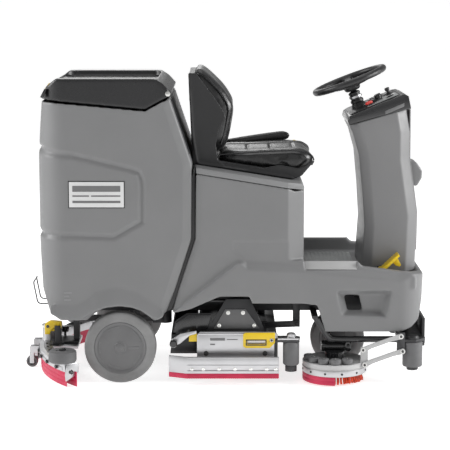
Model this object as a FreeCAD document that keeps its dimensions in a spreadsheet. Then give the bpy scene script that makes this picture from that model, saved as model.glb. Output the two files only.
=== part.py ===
"""Ride-on scrubber dryer: a parametric assembly in millimetres.

Frame: +X is forward, +Y is the driver's left, +Z is up. The origin lies on the floor,
below the middle of the machine. The machine stands as it is parked: the suction bar is
down, and the roller deck and the side deck are lifted clear of the floor.
"""

import FreeCAD
import Part
import Sketcher

import math
import os

from FreeCAD import Placement, Rotation, Vector

doc = FreeCAD.newDocument("RideOnScrubber")

# ---------------------------------------------------------------------------
# Driving dimensions
# ---------------------------------------------------------------------------

SIZES = {
    # whole machine
    "body_half": 378,          # half the width over the side walls
    "apron_half": 390,         # half the width over the platform's side aprons
    "wall": 12,                # wall of the moulded tanks
    "gap": 1.5,                # clearance between pieces that move apart
    # rear wheels
    "rear_x": -459,
    "rear_r": 160,
    "rear_y": 352,             # middle of the tread
    "rear_w": 72,
    "rear_rim_r": 116,
    "axle_r": 15,
    "arch_r": 190,
    # front drive wheel
    "drive_x": 530,
    "drive_r": 125,
    "drive_w": 90,
    "drive_rim_r": 88,
    # recovery tank
    "tank_rear": -820,
    "tank_front": -143,
    "tank_low": 282,
    "tank_top": 1256,
    # body moulding
    "seat_box_rear": -128,
    "seat_box_front": 356,
    "seat_box_high": 962,      # height of its top at the rear
    "seat_box_low": 884,       # height of its top at the front
    "deck_top": 474,           # height of the floor under the feet
    "nose": 890,               # foremost face of the apron
    "apron_low": 233,
    # steering column
    "column_half": 178,
    "dash_half": 186,
    # steering wheel
    "wheel_x": 574,
    "wheel_z": 1322,
    "wheel_r": 162,            # radius to the middle of the rim
    "wheel_grip": 16,          # radius of the rim's section
    "wheel_tilt": 20.9,        # degrees from level
    # seat
    "seat_half": 236,
    # roller deck
    "roller_r": 60,
    "roller_a": 0,
    "roller_b": 132,
    "deck_lift": 32,           # height of the lip over the floor when parked
    "deck_half": 398,
    "deck_rear": -118,
    "deck_front": 240,
    # side deck
    "side_x": 495,
    "side_y": -332,
    "side_r": 141,
    "side_low": 9,             # height of its skirt over the floor when parked
    # suction bar
    "bar_r": 770,              # radius of the rear blade's curve
    "bar_x": -850,             # rearmost point of that curve
    "bar_half": 467,
    "bar_low": 4,
    "bar_top": 106,
    "castor_r": 27,
    "bumper_r": 62,
    # front guard rollers
    "guard_x": 839,
    "guard_y": 378,
    "guard_r": 44,
}


class Dim:
    """A size that carries both its number and the spreadsheet expression behind it."""

    def __init__(self, number, text):
        self.number = float(number)
        self.text = text

    def _with(self, other, sign, swapped=False):
        first, second = (other, self) if swapped else (self, other)
        a, b = num(first), num(second)
        number = {"+": a + b, "-": a - b, "*": a * b, "/": a / b if b else 0}[sign]
        return Dim(number, f"({word(first)} {sign} {word(second)})")

    def __add__(self, other):
        return self._with(other, "+")

    def __radd__(self, other):
        return self._with(other, "+", True)

    def __sub__(self, other):
        return self._with(other, "-")

    def __rsub__(self, other):
        return self._with(other, "-", True)

    def __mul__(self, other):
        return self._with(other, "*")

    def __rmul__(self, other):
        return self._with(other, "*", True)

    def __truediv__(self, other):
        return self._with(other, "/")

    def __neg__(self):
        return self._with(-1, "*")


def num(value):
    """The number of a Dim or of a plain number."""
    return value.number if isinstance(value, Dim) else float(value)


def word(value):
    """The expression text of a Dim or of a plain number."""
    return value.text if isinstance(value, Dim) else repr(float(value))


class Sizes:
    """The spreadsheet of driving dimensions: sizes.NAME is the Dim of that cell."""

    def __init__(self, table):
        self.sheet = doc.addObject("Spreadsheet::Sheet", "Sizes")
        for row, (alias, value) in enumerate(table.items(), start=1):
            self.sheet.set(f"A{row}", alias)
            self.sheet.set(f"B{row}", str(value))
            self.sheet.setAlias(f"B{row}", alias)
            setattr(self, alias, Dim(value, f"Sizes.{alias}"))
        doc.recompute()


S = Sizes(SIZES)

# ---------------------------------------------------------------------------
# Building blocks: each returns an object of the document
# ---------------------------------------------------------------------------

TURN = {
    "X": Rotation(Vector(0, 1, 0), 90),
    "Y": Rotation(Vector(1, 0, 0), -90),
    "-Y": Rotation(Vector(1, 0, 0), 90),
    "Z": Rotation(),
}
PLANE = {
    "XY": Rotation(),
    "XZ": Rotation(Vector(1, 0, 0), 90),
    "YZ": Rotation(Vector(1, 1, 1), 120),
}
NODES = {}


def turned(axis):
    """The rotation for the name of an axis; a rotation is passed on as it is."""
    return TURN[axis] if isinstance(axis, str) else axis


def tie(obj, prop, value):
    """Sets a property and, for a Dim, binds it to the spreadsheet."""
    if "." not in prop:
        setattr(obj, prop, num(value))
    if isinstance(value, Dim):
        obj.setExpression(prop, value.text)


def place(obj, at, rotation=Rotation()):
    """Puts an object at a point whose coordinates may be Dims."""
    obj.Placement = Placement(Vector(*[num(v) for v in at]), rotation)
    for axis, value in zip("xyz", at):
        tie(obj, f"Placement.Base.{axis}", value)
    return obj


def box(name, x, y, z):
    """A box between two values on each axis."""
    obj = doc.addObject("Part::Box", name)
    for prop, (low, high) in zip(("Length", "Width", "Height"), (x, y, z)):
        tie(obj, prop, high - low)
    return place(obj, (x[0], y[0], z[0]))


def cyl(name, radius, at, length, axis="Z"):
    """A cylinder from a point along an axis."""
    obj = doc.addObject("Part::Cylinder", name)
    tie(obj, "Radius", radius)
    tie(obj, "Height", length)
    return place(obj, at, turned(axis))


def sketch(name, plane, corners, at):
    """A closed outline of straight sides. Each corner is (x, y), or (x, y, radius) if it is round."""
    obj = doc.addObject("Sketcher::SketchObject", name)
    points = [Vector(num(c[0]), num(c[1]), 0) for c in corners]
    count = len(points)
    starts, ends, arcs = [], [], {}
    for i, corner in enumerate(corners):
        here, before, after = points[i], points[i - 1], points[(i + 1) % count]
        if len(corner) == 2:
            starts.append(here)
            ends.append(here)
            continue
        to_before, to_after = (before - here).normalize(), (after - here).normalize()
        half = to_before.getAngle(to_after) / 2
        radius = num(corner[2])
        reach = radius / math.tan(half)
        middle = here + (to_before + to_after).normalize() * (radius / math.sin(half))
        on_arc = middle + (here - middle).normalize() * radius
        ends.append(here + to_before * reach)
        starts.append(here + to_after * reach)
        arcs[i] = Part.Arc(ends[i], on_arc, starts[i])
    lines = [
        Part.LineSegment(starts[i], ends[(i + 1) % count]) for i in range(count)
    ]
    obj.addGeometry(lines)
    rules = []

    def rule(kind, *facts, label=None):
        made = Sketcher.Constraint(kind, *facts)
        if label:
            made.Name = label
        rules.append(made)

    for i, corner in enumerate(corners):
        previous = (i - 1) % count
        if i not in arcs:
            rule("Coincident", previous, 2, i, 1)
            spot, end = i, 1
        else:
            arc = obj.addGeometry(arcs[i])
            near = arcs[i].StartPoint.distanceToPoint(ends[i])
            first, last = (1, 2) if near < 1e-6 else (2, 1)
            rule("Tangent", previous, 2, arc, first)
            rule("Tangent", arc, last, i, 1)
            rule("Radius", arc, num(corner[2]), label=f"r{i}")
            spot, end = obj.addGeometry(Part.Point(points[i]), True), 1
            rule("PointOnObject", spot, 1, previous)
            rule("PointOnObject", spot, 1, i)
        rule("DistanceX", -1, 1, spot, end, points[i].x, label=f"x{i}")
        rule("DistanceY", -1, 1, spot, end, points[i].y, label=f"y{i}")
    obj.addConstraint(rules)
    for i, corner in enumerate(corners):
        for letter, value in zip("xyr", corner):
            if isinstance(value, Dim):
                obj.setExpression(f"Constraints.{letter}{i}", value.text)
    return place(obj, at, PLANE[plane])


def prism(name, plane, corners, low, high):
    """An outline in a plane, extruded between two values on the plane's normal."""
    at = {"XY": (0, 0, low), "XZ": (0, high, 0), "YZ": (low, 0, 0)}[plane]
    obj = doc.addObject("Part::Extrusion", name)
    obj.Base = sketch(name + "_outline", plane, corners, at)
    obj.DirMode = "Normal"
    obj.Solid = True
    tie(obj, "LengthFwd", high - low)
    return obj


def lathe(name, corners, at, axis="Z"):
    """An outline of (radius, height) corners, revolved about its own axis."""
    obj = doc.addObject("Part::Revolution", name)
    obj.Source = sketch(name + "_outline", "XZ", corners, (0, 0, 0))
    obj.Axis = Vector(0, 0, 1)
    obj.Angle = 360
    obj.Solid = True
    return place(obj, at, turned(axis))


def ring(name, inner, outer, at, length, axis="Z"):
    """A tube from a point along an axis."""
    return lathe(name, [(inner, 0), (outer, 0), (outer, length), (inner, length)], at, axis)


def torus(name, major, minor, at, axis="Z"):
    obj = doc.addObject("Part::Torus", name)
    tie(obj, "Radius1", major)
    tie(obj, "Radius2", minor)
    return place(obj, at, turned(axis))


def fuse(name, *shapes):
    obj = doc.addObject("Part::MultiFuse", name)
    obj.Shapes = list(shapes)
    return obj


def common(name, *shapes):
    obj = doc.addObject("Part::MultiCommon", name)
    obj.Shapes = list(shapes)
    return obj


def cut(name, base, *tools):
    obj = doc.addObject("Part::Cut", name)
    obj.Base = base
    obj.Tool = tools[0] if len(tools) == 1 else fuse(name + "_tools", *tools)
    return obj


def group(name, *shapes):
    """Separate solids that share one node."""
    obj = doc.addObject("Part::Compound", name)
    obj.Links = list(shapes)
    return obj


def mirrored(name, source):
    """The same piece on the other side of the machine's middle plane."""
    obj = doc.addObject("Part::Mirroring", name)
    obj.Source = source
    obj.Normal = Vector(0, 1, 0)
    return obj


def both_sides(name, source):
    """A piece and its mirror image as one object."""
    return group(name, source, mirrored(name + "_left", source))


def node(label, obj):
    """Names a finished sub-part."""
    obj.Label = label
    NODES[label] = obj
    return obj


# ---------------------------------------------------------------------------
# Chassis
# ---------------------------------------------------------------------------

FRAME_LOW, FRAME_HIGH = 290, 350
RAIL_IN, RAIL_OUT = 150, 190
KINGPIN_R = 20
SWING_X = -272             # upright pin that carries the suction bar's arm
SWING_PIN_R = 14
LINK_FRONT = (330, 232)    # pins of the roller deck's links, as (x, z)
LINK_REAR = (180, 226)
PIN_R = 8
FIT = 0.05                 # radial clearance of a running fit


def chassis_frame():
    rail = box("rail", (-685, 840), (-RAIL_OUT, -RAIL_IN), (FRAME_LOW, FRAME_HIGH))
    post = box("post", (430, 460), (-RAIL_OUT, -RAIL_IN), (FRAME_HIGH, S.deck_top - S.wall))
    post_front = box("post_front", (700, 740), (-RAIL_OUT, -RAIL_IN), (FRAME_HIGH, S.deck_top - S.wall))
    upright_plate = box(
        "axle_plate",
        (S.rear_x - 30, S.rear_x + 30),
        (-RAIL_OUT, -RAIL_IN),
        (S.rear_r, FRAME_LOW),
    )
    lug = box("link_lug", (LINK_FRONT[0] - 16, LINK_FRONT[0] + 16), (-204, -RAIL_OUT), (216, FRAME_HIGH))
    pin = cyl("link_pin", PIN_R, (LINK_FRONT[0], -216, LINK_FRONT[1]), 12, "Y")
    stub = cyl("axle_stub", S.axle_r, (S.rear_x, -(S.rear_y - 6), S.rear_r), 50, "Y")
    side = fuse("frame_side", rail, post, post_front, upright_plate, lug, pin, stub)
    crosses = [
        box(f"cross_{i}", (x, x + 40), (-RAIL_IN, RAIL_IN), (FRAME_LOW, FRAME_HIGH))
        for i, x in enumerate((-685, 380, 800))
    ]
    pin_cross = box("pin_cross", (SWING_X - 30, SWING_X + 30), (-RAIL_IN, RAIL_IN), (FRAME_LOW, FRAME_HIGH))
    swing_pin = cyl("swing_pin", SWING_PIN_R, (SWING_X, 0, 192), FRAME_LOW - 192)
    axle = box("axle_beam", (S.rear_x - 25, S.rear_x + 25), (-300, 300), (S.rear_r - 25, S.rear_r + 25))
    tray = box("battery_tray", (-100, 330), (-300, 300), (FRAME_HIGH, FRAME_HIGH + 8))
    plate = box("kingpin_plate", (S.drive_x - 60, S.drive_x + 60), (-RAIL_OUT, RAIL_OUT), (FRAME_HIGH, 362))
    sleeve = cyl("kingpin_sleeve", 34, (S.drive_x, 0, 362), 38)
    bore = cyl("kingpin_bore", KINGPIN_R + FIT, (S.drive_x, 0, 300), 200)
    whole = fuse(
        "frame_whole",
        side,
        mirrored("frame_other_side", side),
        *crosses,
        pin_cross,
        swing_pin,
        axle,
        tray,
        plate,
        sleeve,
    )
    node("chassis_frame", cut("chassis_frame_cut", whole, bore))


def battery_and_turbine():
    low = FRAME_HIGH + 8
    cells = [
        box(f"cell_{i}{j}", (x, x + 190), (y, y + 176), (low, 620))
        for i, x in enumerate((-80, 118))
        for j, y in enumerate((-278, -90, 98))
    ]
    node("battery_pack", group("battery_cells", *cells))
    drum = cyl("turbine_drum", 88, (212, -190, 620), 120)
    cap = cyl("turbine_cap", 52, (212, -190, 740), 46)
    node("suction_turbine", fuse("turbine", drum, cap))


# Side links of the right-hand deck, as (x, z)
LOWER_REAR, LOWER_FRONT = (624, 91), (791, 152)
UPPER_REAR, UPPER_FRONT = (616, 158), (783, 219)
LINK_BOLT_R = 6
BRACKET_Y = (-412, -404)   # plates that hold the links' bolts
LINK_Y = (-422, -413)      # the links themselves
GUARD_PLATE = (190, 202)   # plate over the corner rollers


def guard_tube():
    """The tube under the right-hand apron, bent up and back to the frame."""
    y, z, radius = -364, 195, 13
    straight = cyl("tube_straight", radius, (473, y, z), 312, "X")
    lift = Vector(405 - 473, 0, 296 - z)
    bent = cyl("tube_bent", radius, (473, y, z), lift.Length, Rotation(Vector(0, 0, 1), lift))
    elbow = doc.addObject("Part::Sphere", "tube_elbow")
    elbow.Radius = radius
    place(elbow, (473, y, z))
    strap = box("tube_strap", (392, 418), (y - radius, -RAIL_OUT), (FRAME_LOW, FRAME_LOW + 12))
    return fuse("guard_tube", straight, bent, elbow, strap)


def front_bumper():
    low, high = GUARD_PLATE
    plate = prism(
        "guard_plate",
        "XY",
        [(775, -400), (850, -412), (897, -365, 20), (897, 365, 20), (850, 412), (775, 400)],
        low,
        high,
    )
    face = box("guard_face", (885, 897), (-340, 340), (160, 284))
    hanger = box("guard_hanger", (800, 840), (-RAIL_OUT, -RAIL_IN), (low, FRAME_LOW))
    pin = cyl("guard_pin", PIN_R, (S.guard_x, -S.guard_y, 66), low - 66)
    foot = cyl("guard_foot", 22, (S.guard_x, -S.guard_y, 63), 13)
    side = fuse("guard_side", hanger, pin, foot, guard_tube())
    bracket = box("link_bracket", (766, 801), BRACKET_Y, (138, 234))
    tie_bar = box("link_bracket_tie", (768, 788), (-404, -365), (184, 206))
    bolts = [
        cyl(f"front_bolt_{i}", LINK_BOLT_R, (x, LINK_Y[0] - 1, z), 11, "Y")
        for i, (x, z) in enumerate((LOWER_FRONT, UPPER_FRONT))
    ]
    node(
        "front_bumper",
        fuse("bumper", plate, face, side, mirrored("guard_left", side), bracket, tie_bar, *bolts),
    )
    roller = lathe(
        "guard_roller",
        [(PIN_R + FIT, 77), (S.guard_r, 77, 6), (S.guard_r, low - 0.5, 6), (PIN_R + FIT, low - 0.5)],
        (S.guard_x, -S.guard_y, 0),
    )
    node("guard_roller_right", roller)
    node("guard_roller_left", mirrored("guard_roller_mirror", roller))


# ---------------------------------------------------------------------------
# Recovery tank and its lid
# ---------------------------------------------------------------------------

LID_PIVOT = (-242, 1286)
LID_PIN_R = 6


def plan(name, x, half, rear, front, z):
    """A slab whose corners are rounded in plan: rear and front are the radii."""
    low, high = x
    corners = [(low, -half, rear), (high, -half, front), (high, half, front), (low, half, rear)]
    return prism(name, "XY", corners, *z)


def recovery_tank():
    outline = [
        (-797, S.tank_top - 4),
        (S.tank_rear, 1000),
        (S.tank_rear, 640),
        (-806, 420),
        (-770, 312),
        (-725, S.tank_low),
        (-300, S.tank_low),
        (-255, 317),
        (-215, 420),
        (S.tank_front, 644),
        (S.tank_front + 4, 976),
        (-236, 1268),
        (-342, 1210),
    ]
    side = prism("tank_side", "XZ", outline, -400, 400)
    slab = plan("tank_plan", (S.tank_rear, -130), S.body_half, 130, 30, (200, 1400))
    inside = [
        (-786, 1300),
        (S.tank_rear + S.wall, 1000),
        (S.tank_rear + S.wall, 640),
        (-795, 425),
        (-762, 366),
        (-250, 366),
        (-227, 424),
        (S.tank_front - S.wall, 648),
        (S.tank_front - 9, 974),
        (-249, 1262),
        (-249, 1300),
    ]
    hollow = prism("tank_hollow_side", "XZ", inside, -400, 400)
    inner = plan(
        "tank_hollow_plan", (S.tank_rear + S.wall, -130), S.body_half - S.wall, 118, 18, (300, 1400)
    )
    belly = box("tank_belly", (-700, -100), (-300, 300), (200, FRAME_HIGH))
    arches = [
        cyl(f"tank_arch_{i}", S.arch_r, (S.rear_x, y, S.rear_r), 120, "Y")
        for i, y in enumerate((-420, 300))
    ]
    shell = cut(
        "tank_shell",
        common("tank_solid", side, slab),
        common("tank_hollow", hollow, inner),
        belly,
        *arches,
    )
    lug = box("lid_lug", (-254, -231), (-S.body_half, -372.6), (1250, 1298))
    pin = cyl("lid_pin", LID_PIN_R, (LID_PIVOT[0], -S.body_half, LID_PIVOT[1]), 28, "Y")
    ear = fuse("lid_ear", lug, pin)
    node("recovery_tank", fuse("tank", shell, ear, mirrored("lid_ear_left", ear)))


def tank_lid():
    outline = [
        (-809, 1263),
        (-775, 1315),
        (-731, 1350),
        (-298, 1350),
        (-263, 1328),
        (-229, 1291),
        (-231, 1277),
        (-342, 1216),
        (-797, 1258),
    ]
    side = prism("lid_side", "XZ", outline, -400, 400)
    slab = plan("lid_plan", (-809, -226), 372, 122, 30, (1200, 1400))
    tray = plan("lid_tray", (-745, -296), 296, 60, 40, (1324, 1400))
    under = prism(
        "lid_under",
        "XZ",
        [(-786, 1200), (-786, 1274), (-728, 1312), (-330, 1312), (-330, 1200)],
        -354,
        354,
    )
    under_plan = plan("lid_under_plan", (-786, -330), 354, 105, 10, (1200, 1400))
    bores = [
        cyl(f"lid_bore_{i}", LID_PIN_R + FIT, (LID_PIVOT[0], y, LID_PIVOT[1]), 32, "Y")
        for i, y in enumerate((-380, 348))
    ]
    node(
        "tank_lid",
        cut("lid", common("lid_solid", side, slab), tray, common("lid_hollow", under, under_plan), *bores),
    )


def hose_bail():
    """Bent wire at the back of the tank that keeps the hoses in."""
    radius = 3
    corners = [
        Vector(-750, -60, 297),
        Vector(-850, -60, 294),
        Vector(-878, -60, 402),
        Vector(-878, 60, 402),
        Vector(-850, 60, 294),
        Vector(-750, 60, 297),
    ]
    runs = []
    for i, (start, end) in enumerate(zip(corners, corners[1:])):
        along = end - start
        runs.append(cyl(f"bail_run_{i}", radius, start, along.Length, Rotation(Vector(0, 0, 1), along)))
    for i, corner in enumerate(corners[1:-1]):
        ball = doc.addObject("Part::Sphere", f"bail_bend_{i}")
        ball.Radius = radius
        runs.append(place(ball, corner))
    node("hose_bail", cut("bail", fuse("bail_wire", *runs), NODES["recovery_tank"]))


# ---------------------------------------------------------------------------
# Body moulding
# ---------------------------------------------------------------------------

HOOD_LINE = (S.seat_box_high - 26, S.seat_box_low - 26)   # where the hood parts from the box
SHOULDER_X = (357, 592)   # where the rim slopes outwards under the step
HOOD_SLOPE = math.degrees(
    math.atan2(
        SIZES["seat_box_high"] - SIZES["seat_box_low"],
        SIZES["seat_box_front"] - SIZES["seat_box_rear"] - 7,
    )
)
HOOD_HINGE = Vector(-121, 377, 936.75)   # on the outside of the left wall
HINGE_STARTS = (60, 330)                 # along the parting line
HINGE_PIN_R = 3
BARREL_R = 6


def along_hinge(obj):
    """Lays a piece built along X on the hood's sloping hinge line."""
    carrier = doc.addObject("Part::Compound", obj.Name + "_on_hinge")
    carrier.Links = [obj]
    carrier.Placement = Placement(HOOD_HINGE, Rotation(Vector(0, 1, 0), HOOD_SLOPE))
    return carrier


def hinge_fixed_half():
    """Leaves, end knuckles and pins of the two hood hinges, on the body."""
    pieces = []
    for i, start in enumerate(HINGE_STARTS):
        plate = box(f"hinge_plate_{i}", (start, start + 76), (-8, -3.5), (-26, -1.5))
        room = cyl(f"hinge_room_{i}", BARREL_R + 0.5, (start + 18.4, 0, 0), 39.2, "X")
        leaf = cut(f"hinge_leaf_{i}", plate, room)
        pin = cyl(f"hinge_pin_{i}", HINGE_PIN_R, (start + 1, 0, 0), 74, "X")
        ends = [
            cyl(f"hinge_end_{i}{j}", BARREL_R, (x, 0, 0), 18, "X")
            for j, x in enumerate((start, start + 58))
        ]
        pieces.append(along_hinge(fuse(f"hinge_body_half_{i}", leaf, pin, *ends)))
    return pieces


def hinge_moving_half():
    """Leaves and middle knuckles of the two hood hinges, on the hood."""
    pieces = []
    for i, start in enumerate(HINGE_STARTS):
        leaf = box(f"hood_leaf_{i}", (start + 19, start + 57), (-8, -3.5), (0.5, 24))
        barrel = ring(f"hood_barrel_{i}", HINGE_PIN_R + FIT, BARREL_R, (start + 19, 0, 0), 38, "X")
        bore = cyl(f"hood_bore_{i}", HINGE_PIN_R + FIT, (start + 10, 0, 0), 56, "X")
        pieces.append(along_hinge(cut(f"hinge_hood_half_{i}", fuse(f"hood_leaves_{i}", leaf, barrel), bore)))
    return pieces


def body_shell():
    seat_half = S.body_half - 8
    apron = [
        (-228, 316),
        (-149, 333),
        (-16, 391),
        (112, 391),
        (126, 360),
        (351, 360),
        (414, 351),
        (450, S.apron_low),
        (783, S.apron_low),
        (832, 251),
        (867, 283),
        (883, 373),
        (S.nose, 486),
        (615, 522),
        (593, 544),
        (63, 544),
    ]
    seat_box = [
        (S.seat_box_rear + 7, HOOD_LINE[0]),
        (S.seat_box_front, HOOD_LINE[1]),
        (S.seat_box_front, 480),
        (-20, 391),
        (-149, 333),
        (-228, 318),
        (-199, 420),
        (S.seat_box_rear + 3, 644),
    ]
    solid = fuse(
        "body_solid",
        common(
            "apron",
            prism("apron_side", "XZ", apron, -400, 400),
            plan("apron_plan", (-240, S.nose), S.apron_half, 20, 110, (200, 600)),
        ),
        common(
            "seat_box",
            prism("seat_box_side", "XZ", seat_box, -400, 400),
            plan("seat_box_plan", (-240, S.seat_box_front), seat_half, 10, 60, (300, 1000)),
        ),
    )
    battery_bay = common(
        "battery_bay",
        prism(
            "battery_bay_side",
            "XZ",
            [
                (S.seat_box_rear + 19, 1000),
                (S.seat_box_front - S.wall, 1000),
                (S.seat_box_front - S.wall, 300),
                (-214, 300),
                (-187, 424),
                (S.seat_box_rear + 15, 646),
            ],
            -400,
            400,
        ),
        plan(
            "battery_bay_plan",
            (-240, S.seat_box_front - S.wall),
            seat_half - S.wall,
            5,
            48,
            (290, 1010),
        ),
    )
    floor_low = S.deck_top - S.wall
    under = common(
        "apron_inside",
        prism(
            "apron_inside_side",
            "XZ",
            [
                (-214, 200),
                (-214, 300),
                (52, floor_low),
                (872, floor_low),
                (868, 380),
                (852, 290),
                (822, 264),
                (780, 246),
                (780, 200),
            ],
            -400,
            400,
        ),
        plan("apron_inside_plan", (-240, 876), S.apron_half - S.wall, 10, 98, (190, 600)),
    )
    foot_well = plan("foot_well", (S.seat_box_front, 866), 325, 5, 85, (S.deck_top, 700))
    recess = prism("side_recess", "XZ", [(500, 415), (744, 418), (720, 300), (524, 309)], -400, -350)
    rail_notch = box("rail_notch", (-240, -20), (-210, 210), (200, FRAME_HIGH + 2))
    hanger_slots = [
        box(f"hanger_slot_{i}", (796, 844), (y, y + 48), (200, FRAME_LOW + 2))
        for i, y in enumerate((-194, 146))
    ]
    shoulder = prism(
        "rim_shoulder",
        "YZ",
        [(-368, 506), (-335, 545), (-335, 560), (-400, 560), (-400, 506)],
        *SHOULDER_X,
    )
    moulding = cut(
        "body",
        solid,
        battery_bay,
        under,
        foot_well,
        recess,
        rail_notch,
        both_sides("rim_shoulders", shoulder),
        *hanger_slots,
    )
    node("body_shell", fuse("body_and_hinges", moulding, *hinge_fixed_half()))
    tread = [(-366, 508.4), (-338, 541.5), (-341.1, 544.1), (-369.1, 511)]
    node("step_tread", prism("tread", "YZ", tread, 360, 588))


# ---------------------------------------------------------------------------
# Steering column and dash
# ---------------------------------------------------------------------------

DASH_LOW, DASH_HIGH = Vector(561, 0, 1172), Vector(801, 0, 1271)
DASH_ALONG = (DASH_HIGH - DASH_LOW).normalize()
DASH_TILT = math.degrees(math.atan2(DASH_ALONG.z, DASH_ALONG.x))
DASH_TURN = Rotation(Vector(0, 1, 0), -DASH_TILT)
PLATE_THICK = 3
STEER_TURN = Rotation(Vector(0, 1, 0), -SIZES["wheel_tilt"])
STEER_PIN_R = 12


def column_shell():
    outline = [
        (562, 1132),
        (580, 1096),
        (608, 997),
        (624, 838),
        (635, 679),
        (623, S.deck_top),
        (864, S.deck_top),
        (864, 500),
        (874, 725),
        (838, 974),
        (838, 1204 - 1),
        (820, 1204),
    ]
    inside = [
        (582, 1118),
        (590, 1096),
        (617, 997),
        (633, 838),
        (644, 679),
        (632, 400),
        (855, 400),
        (855, 500),
        (865, 725),
        (829, 974),
        (829, 1190),
    ]
    flare = [(-230, S.deck_top), (230, S.deck_top), (S.column_half, 1210), (-S.column_half, 1210)]
    flare_inside = [(-221, 400), (221, 400), (S.column_half - 9, 1210), (9 - S.column_half, 1210)]
    outer = common(
        "column_solid",
        prism("column_side", "XZ", outline, -260, 260),
        prism("column_flare", "YZ", flare, 500, 900),
    )
    inner = common(
        "column_hollow",
        prism("column_hollow_side", "XZ", inside, -260, 260),
        prism("column_hollow_flare", "YZ", flare_inside, 500, 900),
    )
    node("column_shell", cut("column", outer, inner))
    cover = prism(
        "cover_plate",
        "XZ",
        [(877, 725), (841, 974), (838, 974), (874, 725)],
        -110,
        110,
    )
    grip = prism(
        "cover_grip",
        "XZ",
        [(858.5, 843), (884, 843), (908, 884), (908, 912), (876, 956), (842.2, 956)],
        -70,
        70,
    )
    solid = fuse("cover", cover, grip)
    node("column_cover", cut("column_cover_cut", solid, NODES["column_shell"]))


def dash():
    half = S.dash_half
    outline = [
        (561, 1172),
        (801, 1271),
        (826, 1262),
        (838, 1205),
        (820, 1204),
        (562, 1132),
        (554, 1150),
    ]
    hollow = [(610, 1100), (610, 1160), (770, 1226), (770, 1100)]
    bezel = cut(
        "bezel",
        prism("bezel_block", "XZ", outline, -half, half),
        prism("bezel_hollow", "XZ", hollow, 30 - half, half - 30),
    )
    node("dash_bezel", bezel)
    plate = box("dash_panel", (10, 246), (14 - half, half - 14), (0, PLATE_THICK))
    plate.Placement = Placement(
        DASH_LOW + DASH_TURN.multVec(Vector(10, 14 - half.number, 0)), DASH_TURN
    )
    neck_core = lathe(
        "neck_core",
        [(0, -160), (44, -160), (30, -54), (STEER_PIN_R, -54), (STEER_PIN_R, -22), (0, -22)],
        (S.wheel_x, 0, S.wheel_z),
        STEER_TURN,
    )
    pedestal = cut("dash_pedestal", plate, neck_core)
    collar = on_dash(ring("stop_collar", 19, 24, (0, 0, 0), 7), 107, -128, PLATE_THICK)
    lugs = [
        on_dash(box(f"lever_lug_{i}", (-9, 9), (y, y + 6), (0, 26)), 205, -112, PLATE_THICK)
        for i, y in enumerate((-18, 12))
    ]
    pin = on_dash(cyl("lever_pin", 4, (0, -14, 17), 28, "Y"), 205, -112, PLATE_THICK)
    node("dash_plate", fuse("dash_panel_set", pedestal, collar, *lugs, pin))
    neck_floor = box("neck_floor", (500, 760), (-90, 90), (1080, 1186))
    node("steering_neck", cut("neck", neck_core, NODES["dash_bezel"], neck_floor))
    button = on_dash(cyl("stop_mushroom", 17.5, (0, 0, 0), 14), 107, -128, PLATE_THICK + 7.5)
    node("stop_button", button)
    skirt = lathe("knob_body", [(0, 0), (19, 0), (19, 4), (15, 8), (15, 30, 3), (0, 30)], (0, 0, 0))
    node("mode_knob", on_dash(skirt, 158, -62, PLATE_THICK + 0.5))
    hub = ring("lever_hub", 4 + FIT, 9, (0, -11.5, 17), 23, "Y")
    stick = cyl("lever_stick", 5, (0, 0, 24), 8)
    grip = lathe("lever_grip", [(0, 30), (9, 30, 3), (12, 46, 5), (0, 46)], (0, 0, 0))
    node("direction_lever", on_dash(fuse("lever", hub, stick, grip), 205, -112, PLATE_THICK))


def on_dash(obj, along, across_by, above):
    """Puts a piece built about its own origin onto the sloping dash."""
    carrier = doc.addObject("Part::Compound", obj.Name + "_on_dash")
    carrier.Links = [obj]
    spot = DASH_LOW + DASH_TURN.multVec(Vector(along, across_by, above))
    carrier.Placement = Placement(spot, DASH_TURN)
    return carrier


def steering_wheel():
    rim = torus("wheel_rim", S.wheel_r, S.wheel_grip, (0, 0, 0))
    hub = lathe(
        "wheel_hub",
        [(0, -10), (30, -10, 4), (38, -50), (STEER_PIN_R + FIT, -50), (STEER_PIN_R + FIT, -20), (0, -20)],
        (0, 0, 0),
    )
    dish = lathe("wheel_dish", [(25, -34), (25, -20), (S.wheel_r, 6), (S.wheel_r, -8)], (0, 0, 0))
    spokes = []
    for i, angle in enumerate((90, 210, 330)):
        bar = box(f"spoke_{i}", (0, 200), (-20, 20), (-60, 20))
        turn = Rotation(Vector(0, 0, 1), angle)
        bar.Placement = Placement(turn.multVec(Vector(0, -20, -60)), turn)
        spokes.append(bar)
    arms = common("wheel_arms", dish, fuse("spoke_bars", *spokes))
    node("steering_wheel", place(fuse("wheel", rim, hub, arms), (S.wheel_x, 0, S.wheel_z), STEER_TURN))


# ---------------------------------------------------------------------------
# Wheels
# ---------------------------------------------------------------------------

def wheel(names, radius, rim_r, width, bore, at, direction="Y"):
    """A tyre on a dished rim. The rim's bore runs on its axle."""
    half = width / 2
    tyre = lathe(
        names[0] + "_ring",
        [(rim_r, -half), (radius, -half, 14), (radius, half, 14), (rim_r, half)],
        at,
        direction,
    )
    web = half - 14
    rim = lathe(
        names[1] + "_disc",
        [
            (bore, -half),
            (40, -half, 4),
            (46, -web),
            (rim_r - 18, -web),
            (rim_r - 10, -half),
            (rim_r, -half),
            (rim_r, half),
            (rim_r - 10, half),
            (rim_r - 18, web),
            (bore, web),
        ],
        at,
        direction,
    )
    node(names[0], tyre)
    node(names[1], rim)


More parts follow.
